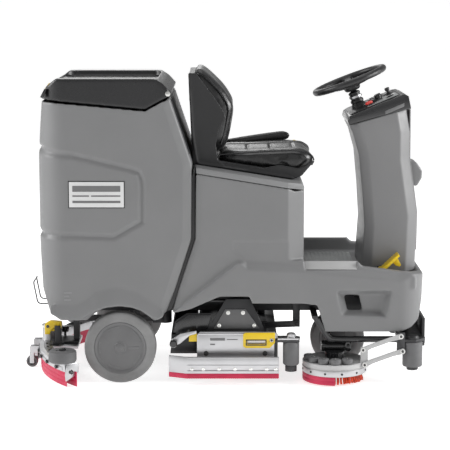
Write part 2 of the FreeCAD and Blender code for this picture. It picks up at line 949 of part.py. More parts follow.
def wheels():
    for side, sign in (("right", -1), ("left", 1)):
        wheel(
            (f"rear_tyre_{side}", f"rear_rim_{side}"),
            S.rear_r,
            S.rear_rim_r,
            S.rear_w,
            S.axle_r + FIT,
            (S.rear_x, sign * S.rear_y, S.rear_r),
            "-Y" if side == "left" else "Y",
        )
    wheel(
        ("drive_tyre", "drive_rim"),
        S.drive_r,
        S.drive_rim_r,
        S.drive_w,
        12 + FIT,
        (S.drive_x, 0, S.drive_r),
    )
    cheek_in, cheek_out = S.drive_w / 2 + 6, S.drive_w / 2 + 18
    cheek = box("fork_cheek", (S.drive_x - 34, S.drive_x + 34), (-cheek_out, -cheek_in), (92, 276))
    bridge = box("fork_bridge", (S.drive_x - 50, S.drive_x + 50), (-cheek_out, cheek_out), (262, 278))
    collar = cyl("fork_collar", 34, (S.drive_x, 0, 278), FRAME_HIGH - 278.4)
    pin = cyl("kingpin", KINGPIN_R, (S.drive_x, 0, 300), 101)
    cap = cyl("kingpin_cap", 28, (S.drive_x, 0, 400.6), 8)
    axle = cyl("drive_axle", 12, (S.drive_x, -cheek_out, S.drive_r), cheek_out * 2, "Y")
    motor = cyl("drive_motor", 44, (S.drive_x, cheek_out, S.drive_r), 60, "Y")
    node(
        "drive_fork",
        fuse("fork", cheek, mirrored("fork_cheek_left", cheek), bridge, collar, pin, cap, axle, motor),
    )


# ---------------------------------------------------------------------------
# Seat, on the hinged hood of the battery bay
# ---------------------------------------------------------------------------

LEVER_PIVOT = (334, 898)
ARM_PIVOT = (-8, 998)


def seat_console():
    half = S.body_half - 8
    cap = prism(
        "hood_side",
        "XZ",
        [
            (S.seat_box_rear + 7, HOOD_LINE[0] + S.gap),
            (S.seat_box_rear + 7, S.seat_box_high),
            (343, 887),
            (S.seat_box_front, 872),
            (S.seat_box_front, HOOD_LINE[1] + S.gap),
        ],
        -half,
        half,
    )
    slab = plan("hood_plan", (S.seat_box_rear + 7, S.seat_box_front), half, 10, 60, (800, 1000))
    lugs = [
        box(f"lift_lug_{i}", (LEVER_PIVOT[0] - 10, LEVER_PIVOT[0] + 9), (y, y + 5), (880, LEVER_PIVOT[1] + 8))
        for i, y in enumerate((291, 308))
    ]
    pin = cyl("lift_pin", 4, (LEVER_PIVOT[0], 292, LEVER_PIVOT[1]), 20, "Y")
    node(
        "seat_console",
        fuse("hood", common("hood_cap", cap, slab), *lugs, pin, *hinge_moving_half()),
    )


def lift_lever():
    x, z = LEVER_PIVOT
    hub = ring("lift_hub", 4 + FIT, 8, (x, 297, z), 10, "Y")
    stem = cyl("lift_stem", 5, (x, 302, z + 6), 92)
    knob = lathe("lift_knob", [(0, 92), (10, 92, 3), (14, 104, 5), (13, 120, 6), (0, 120)], (x, 302, z))
    node("lift_lever", fuse("lift", hub, stem, knob))


def seat():
    half = S.seat_half
    shell = prism(
        "seat_shell_side",
        "XZ",
        [
            (-120, 964),
            (-140, 1094),
            (-153, 1293),
            (-155, 1368),
            (-128, 1368),
            (-120, 1290),
            (-105, 1094),
            (-88, 990),
            (345, 921),
            (349, 911),
            (309, 894.6),
        ],
        -half,
        half,
    )
    plate = box("arm_plate", (-36, 22), (half, half + 5), (952, 1012))
    pin = cyl("arm_pin", PIN_R, (ARM_PIVOT[0], half, ARM_PIVOT[1]), 34, "Y")
    node("seat_shell", fuse("seat_shell_set", shell, plate, pin))
    cushion = [
        (-30, 985),
        (345, 925),
        (398, 955),
        (410, 985),
        (392, 1008, 12),
        (300, 1026),
        (-10, 1015),
    ]
    node("seat_cushion", prism("cushion", "XZ", cushion, -half, half))
    back = [
        (-84, 998),
        (-14, 1022),
        (8, 1040),
        (38, 1190),
        (38, 1231),
        (-8, 1300),
        (-88, 1377),
        (-124, 1400, 8),
        (-124, 1330),
        (-117, 1290),
        (-101, 1094),
    ]
    node("seat_back", prism("backrest", "XZ", back, -half, half))
    arm = prism(
        "armrest_bar",
        "XZ",
        [(-32, 990), (-10, 1022), (276, 1067), (305, 1062), (319, 1042), (300, 1022), (60, 990), (20, 976)],
        half + 6,
        half + 48,
    )
    bore = cyl("armrest_bore", PIN_R + FIT, (ARM_PIVOT[0], half, ARM_PIVOT[1]), 34.6, "Y")
    node("armrest", cut("armrest_cut", arm, bore))


PEDAL_PIVOT = (702, 492)


def pedal():
    x, z = PEDAL_PIVOT
    lugs = [
        box(f"pedal_lug_{i}", (x - 12, x + 12), (y, y + 6), (S.deck_top, z + 10))
        for i, y in enumerate((-320, -238))
    ]
    pin = cyl("pedal_pin", 5, (x, -318, z), 84, "Y")
    node("pedal_bracket", fuse("pedal_stand", *lugs, pin))
    hub = ring("pedal_hub", 5 + FIT, 10, (x, -313, z), 74, "Y")
    pad = prism(
        "pedal_pad",
        "XZ",
        [(x + 2, z + 8), (x + 16, z + 20), (778, 568), (784, 560), (x + 8, z - 4)],
        -312,
        -240,
    )
    arm = prism("pedal_arm", "XZ", [(748, 535), (772, 556), (792, 516), (786, 508), (768, 514)], -286, -266)
    clear = cyl("pedal_clear", 7, (x, -320, z), 90, "Y")
    node("pedal", fuse("pedal_set", hub, cut("pedal_plate", fuse("pedal_solid", pad, arm), clear)))


# ---------------------------------------------------------------------------
# Roller deck
# ---------------------------------------------------------------------------

ROLLER_Z = S.roller_r + S.deck_lift
SHAFT_R = 12
LATCH_PIVOT = (212, 200)
DECK_PLATE_Y = (-338, -326)   # upright plates over the rollers' ends


def deck_housing():
    half = 384
    hood = prism(
        "deck_hood",
        "XZ",
        [
            (S.deck_rear, 117),
            (S.deck_rear, 190),
            (-60, 200),
            (180, 200),
            (S.deck_front, 190),
            (S.deck_front, 117),
            (S.deck_front - 10, 117),
            (S.deck_front - 10, 174),
            (S.deck_rear + 10, 174),
            (S.deck_rear + 10, 117),
        ],
        -half,
        half,
    )
    end = box("deck_end", (S.deck_rear, S.deck_front), (-half, 12 - half), (57, 196))
    lug = box("deck_lug", (LINK_REAR[0] - 16, LINK_REAR[0] + 16), (-204, -190), (192, 242))
    pin = cyl("deck_pin", PIN_R, (LINK_REAR[0], -216, LINK_REAR[1]), 12, "Y")
    bracket = prism(
        "deck_bracket",
        "XZ",
        [(-70, 190), (-70, 236), (10, 371), (117, 371), (179, 240), (179, 190)],
        *DECK_PLATE_Y,
    )
    guard = prism(
        "deck_rear_guard",
        "XZ",
        [(-226, 219), (-217, 270), (-163, 306), (-52, 306), (-52, 190), (-116, 190), (-116, 216)],
        *DECK_PLATE_Y,
    )
    rail_foot = [
        box(f"rail_foot_{i}", (x, x + 20), (-436, -half), (57, 66))
        for i, x in enumerate((-110, 30, 200))
    ]
    side = fuse("deck_side", end, lug, pin, bracket, guard, *rail_foot)
    shelf = box("hopper_shelf", (-238, S.deck_rear), (-330, 330), (122, 132))
    arm = box("roller_arm", (236, 335), (-418, -374), (192.4, 204))
    roller_pin = cyl("roller_pin", PIN_R, (299, -390, 66), 130)
    foot = cyl("roller_foot", 26, (299, -390, 58), 28)
    holes = [
        cyl(f"shaft_hole_{i}", SHAFT_R + FIT, (x, -400, ROLLER_Z), 800, "Y")
        for i, x in enumerate((S.roller_a, S.roller_b))
    ]
    whole = fuse("deck_whole", hood, side, mirrored("deck_side_left", side), shelf, arm, roller_pin, foot)
    node("deck_housing", cut("deck_cut", whole, *holes))
    bumper = lathe(
        "deck_roller_body",
        [(PIN_R + FIT, 86.5), (36, 86.5, 6), (36, 191.8, 6), (PIN_R + FIT, 191.8)],
        (299, -390, 0),
    )
    node("deck_roller", bumper)


def deck_cover():
    cover = prism(
        "cover_side",
        "XZ",
        [
            (S.deck_rear, 119),
            (S.deck_rear, 222),
            (S.deck_rear + 14, 235),
            (S.deck_front - 14, 235),
            (S.deck_front, 222),
            (S.deck_front, 206),
            (S.deck_front - 16, 206),
            (S.deck_front - 16, 119),
        ],
        -S.deck_half,
        -384,
    )
    pin = cyl("latch_pin", PIN_R, (LATCH_PIVOT[0], -412, LATCH_PIVOT[1]), 16, "Y")
    node("deck_cover", fuse("cover_set", cover, pin))
    handle = prism(
        "latch_bar",
        "XZ",
        [(86, 172), (86, 226), (96, 233), (227, 233), (227, 188), (204, 165), (96, 165)],
        -411,
        -S.deck_half - 0.6,
    )
    slot = box("latch_slot", (104, 184), (-420, -390), (182, 198))
    bore = cyl("latch_bore", PIN_R + FIT, (LATCH_PIVOT[0], -420, LATCH_PIVOT[1]), 40, "Y")
    node("deck_latch", cut("latch", handle, slot, bore))


def deck_hopper():
    tray = box("hopper_block", (-234, -122), (-345, 345), (132.4, 212))
    inside = box("hopper_inside", (-228, -128), (-339, 339), (138, 300))
    node("deck_hopper", cut("hopper", tray, inside))


def deck_skirts():
    def strip(name, low, high, thick):
        right = prism(
            name,
            "XY",
            [
                (244, -436),
                (-166, -436),
                (-243, -400),
                (-243, -400 - thick * 1.1),
                (-167, -436 - thick),
                (244, -436 - thick),
            ],
            low,
            high,
        )
        return both_sides(name + "s", right)

    node("skirt_rails", strip("skirt_rail", 57, 132, 7))
    node("deck_skirts", strip("skirt_lip", S.deck_lift + 2, 57, 5))


def rollers():
    for label, x in (("roller_rear", S.roller_a), ("roller_front", S.roller_b)):
        core = cyl(label + "_shaft", SHAFT_R, (x, -383, ROLLER_Z), 766, "Y")
        brush = cyl(label + "_brush", S.roller_r, (x, -366, ROLLER_Z), 732, "Y")
        node(label, fuse(label + "_set", core, brush))


def deck_links():
    bar = strap("deck_link", LINK_REAR, LINK_FRONT, 14, PIN_R, (-213.5, -204.5))
    node("deck_links", both_sides("deck_link_pair", bar))


def strap(name, start, end, half, bolt_r, y):
    """A flat bar with an eye at each end, in a plane of constant y."""
    low, high = y
    run = Vector(end[0] - start[0], end[1] - start[1], 0)
    side = Vector(-run.y, run.x, 0).normalize() * half
    corners = [
        (start[0] + side.x, start[1] + side.y),
        (end[0] + side.x, end[1] + side.y),
        (end[0] - side.x, end[1] - side.y),
        (start[0] - side.x, start[1] - side.y),
    ]
    eyes, bores = [], []
    for i, (x, z) in enumerate((start, end)):
        eyes.append(cyl(f"{name}_eye_{i}", half, (x, low, z), high - low, "Y"))
        bores.append(cyl(f"{name}_bore_{i}", bolt_r + FIT, (x, low - 1, z), high - low + 2, "Y"))
    return cut(name, fuse(name + "_solid", prism(name + "_bar", "XZ", corners, low, high), *eyes), *bores)


# ---------------------------------------------------------------------------
# Side deck
# ---------------------------------------------------------------------------

BRUSH_SHAFT_R = 14


def side_deck():
    at = (S.side_x, S.side_y, 0)
    carrier = lathe(
        "carrier_ring",
        [
            (BRUSH_SHAFT_R + FIT, 86),
            (S.side_r - 8, 86),
            (S.side_r - 8, 46),
            (S.side_r, 46),
            (S.side_r, 98, 4),
            (BRUSH_SHAFT_R + FIT, 98),
        ],
        at,
    )
    upright = box("carrier_upright", (606, 638), BRACKET_Y, (80, 169))
    foot = box("carrier_foot", (580, 638), (BRACKET_Y[0], -396), (80, 98))
    bolts = [
        cyl(f"rear_bolt_{i}", LINK_BOLT_R, (x, LINK_Y[0] - 1, z), 11, "Y")
        for i, (x, z) in enumerate((LOWER_REAR, UPPER_REAR))
    ]
    node("side_carrier", fuse("carrier", carrier, upright, foot, *bolts))
    skirt = ring("skirt_ring", S.side_r - 4, S.side_r + 1, (S.side_x, S.side_y, S.side_low), 46 - S.side_low)
    rear_half = box("skirt_half", (300, 508), (-500, -150), (0, 46))
    node("side_skirt", common("side_skirt_arc", skirt, rear_half))
    gearbox = cyl("side_gearbox", 44, (S.side_x, S.side_y, 98), 40)
    drum = cyl("side_drum", 25, (437, -304, 151), 134, "X")
    node("side_motor", fuse("side_motor_set", gearbox, drum))
    brush = lathe(
        "brush_body",
        [
            (0, 6),
            (S.side_r - 12, 6),
            (S.side_r - 26, 52),
            (60, 60),
            (BRUSH_SHAFT_R, 64),
            (BRUSH_SHAFT_R, 97),
            (0, 97),
        ],
        at,
    )
    node("side_brush", brush)
    guides = []
    for i, angle in enumerate((188, 215, 242, 269, 296)):
        turn = math.radians(angle)
        spot = (S.side_x + 114 * math.cos(turn), S.side_y + 114 * math.sin(turn), 98)
        guides.append(cyl(f"guide_{i}", 25, spot, 28))
    node("side_guide_rollers", group("guides", *guides))
    node("side_lower_link", strap("lower_link", LOWER_REAR, LOWER_FRONT, 12, LINK_BOLT_R, LINK_Y))
    node("side_upper_link", strap("upper_link", UPPER_REAR, UPPER_FRONT, 12, LINK_BOLT_R, LINK_Y))


# ---------------------------------------------------------------------------
# Suction bar
# ---------------------------------------------------------------------------

ARM_HINGE = (-316, 215)
RELEASE_PIVOT = (-768, 182)
DEFLECTOR = (-711, 430)


def arc_band(name, inner, outer, low, high):
    """A band of the suction bar's curve."""
    centre = S.bar_x + S.bar_r
    whole = ring(name + "_ring", inner, outer, (centre, 0, low), high - low)
    reach = 1000
    spread = reach * math.tan(math.asin(S.bar_half.number / S.bar_r.number))
    wedge = prism(
        name + "_wedge",
        "XY",
        [(centre, 0), (centre - reach, -spread), (centre - reach, spread)],
        low - 1,
        high + 1,
    )
    return common(name, whole, wedge)


def squeegee():
    x, z = ARM_HINGE
    sleeve = ring("yoke_sleeve", SWING_PIN_R + FIT, 30, (SWING_X, 0, 196), 66)
    lug = box("yoke_lug", (x - 14, SWING_X - 8), (-30, -20), (198, 232))
    lug_left = mirrored("yoke_lug_left", lug)
    pin = cyl("yoke_pin", 7, (x, -29, z), 58, "Y")
    node("squeegee_yoke", fuse("yoke", sleeve, lug, lug_left, pin))

    bar = box("arm_bar", (-700, x + 10), (-19, 19), (203, 227))
    drop = box("arm_drop", (-700, -672), (-19, 19), (106, 227))
    foot = box("arm_foot", (-782, -672), (-60, 60), (106, 116))
    lugs = [
        box(f"release_lug_{i}", (-782, -754), (y, y + 5), (116, 194)) for i, y in enumerate((-82, -43))
    ]
    release_foot = box("release_foot", (-790, -740), (-82, -38), (106, 116))
    release_pin = cyl("release_pin", 5, (RELEASE_PIVOT[0], -81, RELEASE_PIVOT[1]), 42, "Y")
    bore = cyl("arm_bore", 7 + FIT, (x, -40, z), 80, "Y")
    node(
        "squeegee_arm",
        cut("arm_cut", fuse("arm", bar, drop, foot, *lugs, release_foot, release_pin), bore),
    )
    lever = prism(
        "release_side",
        "XZ",
        [
            (-828, 152),
            (-828, 200),
            (-800, 216),
            (-750, 210),
            (-750, 184),
            (-776, 168),
            (-800, 168),
            (-806, 152),
        ],
        -76,
        -44,
    )
    lever_bore = cyl("release_bore", 5 + FIT, (RELEASE_PIVOT[0], -90, RELEASE_PIVOT[1]), 60, "Y")
    node("release_lever", cut("release", lever, lever_bore))

    body_low = 70
    band = arc_band("bar_band", S.bar_r - 54, S.bar_r + 6, body_low, S.bar_top)
    web = box("bar_web", (-812, -672), (-120, 120), (94, S.bar_top))
    neck = cyl("suction_neck", 32, (-818, 22, S.bar_top), 74)
    elbow = cyl("suction_elbow", 28, (-818, 22, 164), 60, "X")
    legs = [
        box(f"castor_leg_{i}", (-896, -852), (y, y + 5), (body_low, S.bar_top - 6))
        for i, y in enumerate((-94, -61, 56, 89))
    ]
    feet = [
        box(f"castor_foot_{i}", (-898, -878), (y, y + 5), (20, body_low + 4))
        for i, y in enumerate((-94, -61, 56, 89))
    ]
    axles = [
        cyl(f"castor_axle_{i}", 5, (-888, y, S.castor_r), 38, "Y") for i, y in enumerate((-94, 56))
    ]
    pegs = [
        cyl(f"deflector_peg_{i}", PIN_R, (DEFLECTOR[0], y, 100), 68)
        for i, y in enumerate((-DEFLECTOR[1], DEFLECTOR[1]))
    ]
    body = fuse("bar", band, web, neck, elbow, *legs, *feet, *axles, *pegs)
    node("squeegee_body", cut("bar_cut", body, box("neck_room", (-830, -600), (-18.9, 60), (227.1, 400))))
    node(
        "squeegee_blades",
        group(
            "blades",
            arc_band("blade_rear", S.bar_r - 4, S.bar_r, S.bar_low, body_low),
            arc_band("blade_front", S.bar_r - 39, S.bar_r - 35, S.bar_low, body_low),
        ),
    )
    castors = [
        lathe(
            f"castor_{i}",
            [(5 + FIT, 0), (S.castor_r, 0, 4), (S.castor_r, 24, 4), (5 + FIT, 24)],
            (-888, y, S.castor_r),
            "Y",
        )
        for i, y in enumerate((-87, 63))
    ]
    node("castors", group("castor_pair", *castors))
    for label, sign in (("deflector_right", -1), ("deflector_left", 1)):
        disc = lathe(
            label + "_disc",
            [
                (PIN_R + FIT, S.bar_top + 1),
                (S.bumper_r - 12, S.bar_top + 1),
                (S.bumper_r, S.bar_top + 8),
                (S.bumper_r, 160, 6),
                (PIN_R + FIT, 160),
            ],
            (DEFLECTOR[0], sign * DEFLECTOR[1], 0),
        )
        node(label, disc)


# ---------------------------------------------------------------------------
# Assembly
# ---------------------------------------------------------------------------

BUILDERS = (
    chassis_frame,
    battery_and_turbine,
    front_bumper,
    recovery_tank,
    tank_lid,
    hose_bail,
    body_shell,
    column_shell,
    dash,
    steering_wheel,
    wheels,
    seat_console,
    lift_lever,
    seat,
    pedal,
    deck_housing,
    deck_cover,
    deck_hopper,
    deck_skirts,
    rollers,
    deck_links,
    side_deck,
    squeegee,
)


def check():
    """Stops if any object failed or any sub-part has no sound shape."""
    for obj in doc.Objects:
        if {"Invalid", "Error"} & set(obj.State):
            raise RuntimeError(f"{obj.Name} ({obj.Label}) failed: {obj.State}")
    for label, obj in NODES.items():
        if obj.Shape.isNull() or not obj.Shape.isValid() or not obj.Shape.Solids:
            raise RuntimeError(f"{label} has no sound shape")


for build in BUILDERS:
    build()
doc.recompute()
check()
os.makedirs("parts", exist_ok=True)
for label, obj in NODES.items():
    obj.Shape.exportStep(f"parts/{label}.step")
print(len(NODES), "sub-parts written")
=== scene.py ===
"""Ride-on scrubber dryer: the visible model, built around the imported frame.

Lengths in the calls below are millimetres; the mesh helpers turn them into metres.
+X is forward, +Y is the driver's left and +Z is up, as in the frame.
"""

import math
import random

import bmesh
import bpy
from mathutils import Matrix, Vector
from mathutils.kdtree import KDTree


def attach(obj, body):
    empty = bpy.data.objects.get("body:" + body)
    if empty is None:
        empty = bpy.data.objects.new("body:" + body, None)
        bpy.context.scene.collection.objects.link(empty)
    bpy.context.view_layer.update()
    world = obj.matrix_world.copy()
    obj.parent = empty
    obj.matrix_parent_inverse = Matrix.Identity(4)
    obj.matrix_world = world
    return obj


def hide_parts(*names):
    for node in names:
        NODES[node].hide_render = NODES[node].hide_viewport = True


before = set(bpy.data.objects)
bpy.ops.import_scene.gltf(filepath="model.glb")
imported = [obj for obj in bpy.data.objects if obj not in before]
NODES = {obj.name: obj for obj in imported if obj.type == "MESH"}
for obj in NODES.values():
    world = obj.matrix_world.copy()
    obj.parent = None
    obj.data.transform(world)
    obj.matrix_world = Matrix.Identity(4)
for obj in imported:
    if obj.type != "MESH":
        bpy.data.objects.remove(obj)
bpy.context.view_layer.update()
RNG = random.Random(11)
MM = 0.001

# ---------------------------------------------------------------------------
# Mesh helpers
# ---------------------------------------------------------------------------

AXIS_TURN = {
    "Z": Matrix.Identity(3),
    "X": Matrix(((0, 0, 1), (1, 0, 0), (0, 1, 0))),
    "Y": Matrix(((0, 1, 0), (0, 0, 1), (1, 0, 0))),
}
PLANE_PUT = {
    "XZ": lambda a, b, c: (a, c, b), "XY": lambda a, b, c: (a, b, c), "YZ": lambda a, b, c: (c, a, b)
}


def facing_y(sign):
    """Turns a piece built along +Z to point along +Y or -Y."""
    return Matrix(((1, 0, 0), (0, 0, sign), (0, 1, 0)))


def linked(name, mesh):
    obj = bpy.data.objects.new(name, mesh)
    bpy.context.scene.collection.objects.link(obj)
    return obj


def from_bmesh(name, bm):
    """Turns a bmesh in millimetres into an object in metres."""
    bmesh.ops.scale(bm, vec=(MM, MM, MM), verts=bm.verts)
    bmesh.ops.recalc_face_normals(bm, faces=bm.faces)
    mesh = bpy.data.meshes.new(name)
    bm.to_mesh(mesh)
    bm.free()
    return linked(name, mesh)


def skin(bm, rings, closed_around=True, closed_along=False, caps=True):
    """Joins equal rings of vertices with faces."""
    count = len(rings[0])
    pairs = list(zip(rings, rings[1:]))
    if closed_along:
        pairs.append((rings[-1], rings[0]))
    around = count if closed_around else count - 1
    for one, two in pairs:
        for i in range(around):
            j = (i + 1) % count
            bm.faces.new((one[i], one[j], two[j], two[i]))
    if caps and not closed_along:
        bm.faces.new(rings[0][::-1])
        bm.faces.new(rings[-1])


def loft(name, sections, closed_along=False):
    """A solid through sections, each a list of the same number of (x, y, z) corners."""
    bm = bmesh.new()
    rings = [[bm.verts.new(point) for point in section] for section in sections]
    skin(bm, rings, closed_along=closed_along)
    return from_bmesh(name, bm)


def prism(name, outline, low, high, plane="XZ"):
    """An outline in a plane, extruded between two values on the plane's normal."""
    put = PLANE_PUT[plane]
    return loft(name, [[put(a, b, level) for a, b in outline] for level in (low, high)])


def slab(name, across, up, low, high, plane="XZ"):
    """A rectangle in a plane, extruded like a prism."""
    corners = [(across[0], up[0]), (across[1], up[0]), (across[1], up[1]), (across[0], up[1])]
    return prism(name, corners, low, high, plane)


def box(name, x, y, z):
    return slab(name, x, y, *z, plane="XY")


def lathe(name, profile, centre, axis="Z", steps=48, closed=False, sweep=360, start=0):
    """Revolves (radius, height) corners; a closed profile is a ring, an open one is capped."""
    bm = bmesh.new()
    turn = AXIS_TURN[axis] if isinstance(axis, str) else axis
    whole = sweep == 360
    count = steps if whole else steps + 1
    rings = []
    for k in range(count):
        angle = math.radians(start + sweep * k / steps)
        rings.append(
            [
                bm.verts.new(turn @ Vector((r * math.cos(angle), r * math.sin(angle), h)) + Vector(centre))
                for r, h in profile
            ]
        )
    skin(bm, rings, closed_around=closed, closed_along=whole, caps=closed)
    bmesh.ops.remove_doubles(bm, verts=bm.verts, dist=0.001)
    return from_bmesh(name, bm)


def frames_along(points, closed=False, up=Vector((0, 0, 1))):
    """A (point, side, up) triple at each point of a path."""
    points = [Vector(p) for p in points]
    result = []
    for i, here in enumerate(points):
        before = points[i - 1] if closed or i else here
        after = points[(i + 1) % len(points)] if closed or i + 1 < len(points) else here
        along = (after - before).normalized()
        side = along.cross(up)
        side = side.normalized() if side.length > 1e-6 else Vector((0, 1, 0))
        result.append((here, side, side.cross(along).normalized()))
    return result


def sweep(name, points, section, closed=False, up=Vector((0, 0, 1))):
    """Carries a section of (side, up) corners along a path."""
    bm = bmesh.new()
    rings = [
        [bm.verts.new(here + side * a + top * b) for a, b in section]
        for here, side, top in frames_along(points, closed, up)
    ]
    skin(bm, rings, closed_along=closed)
    return from_bmesh(name, bm)


def circle(radius, count=12, squash=1.0):
    """A round section for sweep()."""
    turns = [2 * math.pi * i / count for i in range(count)]
    return [(radius * math.cos(t), radius * squash * math.sin(t)) for t in turns]


def rounded_path(points, radius, steps=5):
    """The path with each inner corner replaced by a smooth arc-like bend."""
    points = [Vector(p) for p in points]
    result = [points[0]]
    for before, here, after in zip(points, points[1:], points[2:]):
        start = here + (before - here).normalized() * min(radius, (before - here).length * 0.48)
        end = here + (after - here).normalized() * min(radius, (after - here).length * 0.48)
        for k in range(steps + 1):
            t = k / steps
            result.append(start * (1 - t) ** 2 + here * 2 * t * (1 - t) + end * t * t)
    result.append(points[-1])
    return result


def tube(name, points, radius, bend=30, count=12, closed=False, up=Vector((0, 0, 1))):
    path = rounded_path(points, bend) if len(points) > 2 and not closed else points
    return sweep(name, path, circle(radius, count), closed, up)


def add(obj, kind, **values):
    modifier = obj.modifiers.new(kind, kind)
    for key, value in values.items():
        setattr(modifier, key, value)
    return modifier


def applied(obj):
    """Bakes an object's modifiers into its mesh."""
    bpy.context.view_layer.update()
    depsgraph = bpy.context.evaluated_depsgraph_get()
    mesh = bpy.data.meshes.new_from_object(obj.evaluated_get(depsgraph))
    obj.modifiers.clear()
    obj.data = mesh
    return obj


def cut(obj, *cutters, operation="DIFFERENCE"):
    for cutter in cutters:
        add(obj, "BOOLEAN", operation=operation, object=cutter, solver="EXACT")
    applied(obj)
    for cutter in cutters:
        bpy.data.objects.remove(cutter)
    return obj


def smooth(obj, angle=35):
    """Smooth shading, kept sharp at edges over an angle."""
    obj.data.polygons.foreach_set("use_smooth", [True] * len(obj.data.polygons))
    obj.data.set_sharp_from_angle(angle=math.radians(angle))
    return obj


def bevel(obj, width, segments=3, angle=30):
    add(
        obj, "BEVEL", width=width * MM, segments=segments, limit_method="ANGLE",
        angle_limit=math.radians(angle), harden_normals=False,
    )
    return smooth(applied(obj), 40)


def soften(obj, voxel, passes, factor=0.5):
    """The soft edges of a rotational moulding: an even mesh, smoothed."""
    add(obj, "REMESH", mode="VOXEL", voxel_size=voxel * MM)
    add(obj, "SMOOTH", factor=factor, iterations=passes)
    return smooth(applied(obj), 60)


def joined(name, *objs):
    """One object from several meshes; their materials stay."""
    bm = bmesh.new()
    materials = []
    for obj in objs:
        start = len(bm.faces)
        matrix = obj.matrix_world.copy()
        mesh = obj.data.copy()
        mesh.transform(matrix)
        bm.from_mesh(mesh)
        bm.faces.ensure_lookup_table()
        for face in bm.faces[start:]:
            material = obj.data.materials[face.material_index] if obj.data.materials else None
            if material not in materials:
                materials.append(material)
            face.material_index = materials.index(material)
        bpy.data.meshes.remove(mesh)
    mesh = bpy.data.meshes.new(name)
    bm.to_mesh(mesh)
    bm.free()
    for material in materials:
        if material:
            mesh.materials.append(material)
    for obj in objs:
        bpy.data.objects.remove(obj)
    return linked(name, mesh)


def mirrored(name, obj):
    """A mirror image across the machine's middle plane."""
    mesh = obj.data.copy()
    mesh.transform(Matrix.Diagonal((1, -1, 1, 1)))
    mesh.flip_normals()
    return linked(name, mesh)


def both_sides(name, obj):
    return joined(name, obj, mirrored(name + "_other", obj))


def copy_of(node, name):
    """A working copy of a CAD node's mesh, with its vertices merged."""
    bm = bmesh.new()
    bm.from_mesh(NODES[node].data)
    bmesh.ops.remove_doubles(bm, verts=bm.verts, dist=1e-6)
    mesh = bpy.data.meshes.new(name)
    bm.to_mesh(mesh)
    bm.free()
    return linked(name, mesh)


def painted(obj, material):
    obj.data.materials.clear()
    obj.data.materials.append(material)
    return obj


def piece(obj, body, *nodes, material=None):
    """Finishes an object: its material, its body and the CAD nodes it stands for."""
    if material:
        painted(obj, material)
    if nodes:
        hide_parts(*nodes)
    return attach(obj, body)


# ---------------------------------------------------------------------------
# Materials
# ---------------------------------------------------------------------------

def new_material(name, slot):
    material = bpy.data.materials.new(name)
    material.use_nodes = True
    material["slot"] = slot
    tree = material.node_tree
    shader = tree.nodes["Principled BSDF"]
    coords = tree.nodes.new("ShaderNodeTexCoord")
    return material, tree, shader, coords


def noise(tree, coords, scale, detail=4.0, roughness=0.5, stretch=None):
    node = tree.nodes.new("ShaderNodeTexNoise")
    node.inputs["Scale"].default_value = scale
    node.inputs["Detail"].default_value = detail
    node.inputs["Roughness"].default_value = roughness
    source = coords.outputs["Object"]
    if stretch:
        mapping = tree.nodes.new("ShaderNodeMapping")
        mapping.inputs["Scale"].default_value = stretch
        tree.links.new(source, mapping.inputs["Vector"])
        source = mapping.outputs["Vector"]
    tree.links.new(source, node.inputs["Vector"])
    return node.outputs["Fac"]


def ramp(tree, value, low, high, start=0.35, end=0.65):
    """Maps a 0-1 value to a colour or a grey between two stops."""
    node = tree.nodes.new("ShaderNodeValToRGB")
    tree.links.new(value, node.inputs["Fac"])
    for stop, place, colour in zip(node.color_ramp.elements, (start, end), (low, high)):
        stop.position = place
        stop.color = (*colour, 1) if len(colour) == 3 else colour
    return node.outputs["Color"]


def grey(value):
    return (value, value, value)


def tinted(colour, factor):
    return tuple(min(1.0, c * factor) for c in colour)


def bump(tree, shader, heights):
    """Chains bumps: each is (height output, strength, distance in metres)."""
    normal = None
    for height, strength, distance in heights:
        node = tree.nodes.new("ShaderNodeBump")
        node.inputs["Strength"].default_value = strength
        node.inputs["Distance"].default_value = distance
        tree.links.new(height, node.inputs["Height"])
        if normal:
            tree.links.new(normal, node.inputs["Normal"])
        normal = node.outputs["Normal"]
    tree.links.new(normal, shader.inputs["Normal"])


def edge_highlight(tree, colour, highlight_colour, amount):
    """Paints a highlight: lightens a colour along convex edges."""
    geometry = tree.nodes.new("ShaderNodeNewGeometry")
    mask = tree.nodes.new("ShaderNodeMapRange")
    mask.inputs["From Min"].default_value = 0.52
    mask.inputs["From Max"].default_value = 0.62
    mask.inputs["To Max"].default_value = amount
    tree.links.new(geometry.outputs["Pointiness"], mask.inputs["Value"])
    mix = tree.nodes.new("ShaderNodeMix")
    mix.data_type = "RGBA"
    tree.links.new(mask.outputs["Result"], mix.inputs["Factor"])
    tree.links.new(colour, mix.inputs["A"])
    mix.inputs["B"].default_value = (*highlight_colour, 1)
    return mix.outputs["Result"]


def surface(
    name, slot, colour, rough, grain=0, mottle=0.08, patch=9, edge=0.0, metallic=0.0, depth=0.00012,
    sheen=0.0, coat=0.0, stretch=None, strength=0.5,
):
    """A general finish: colour variation, uneven gloss, a fine grain and a painted highlight along convex
    edges.
    """
    material, tree, shader, coords = new_material(name, slot)
    clouds = noise(tree, coords, patch, 5)
    base = ramp(tree, clouds, tinted(colour, 1 - mottle), tinted(colour, 1 + mottle))
    # edge sets a painted highlight: convex edges are lightened as if they caught the lamps.
    if edge:
        base = edge_highlight(tree, base, tinted(colour, 1.7), edge)
    tree.links.new(base, shader.inputs["Base Color"])
    scuffs = noise(tree, coords, patch * 6, 6, 0.6, stretch)
    tree.links.new(
        ramp(tree, scuffs, grey(rough * 0.85), grey(min(1, rough * 1.15))), shader.inputs["Roughness"]
    )
    shader.inputs["Metallic"].default_value = metallic
    shader.inputs["Sheen Weight"].default_value = sheen
    shader.inputs["Coat Weight"].default_value = coat
    shader.inputs["Coat Roughness"].default_value = 0.2
    heights = [(noise(tree, coords, patch, 2), 0.05, 0.001)]
    if grain:
        heights.append((noise(tree, coords, grain, 2, 0.5, stretch), strength, depth))
    bump(tree, shader, heights)
    return material


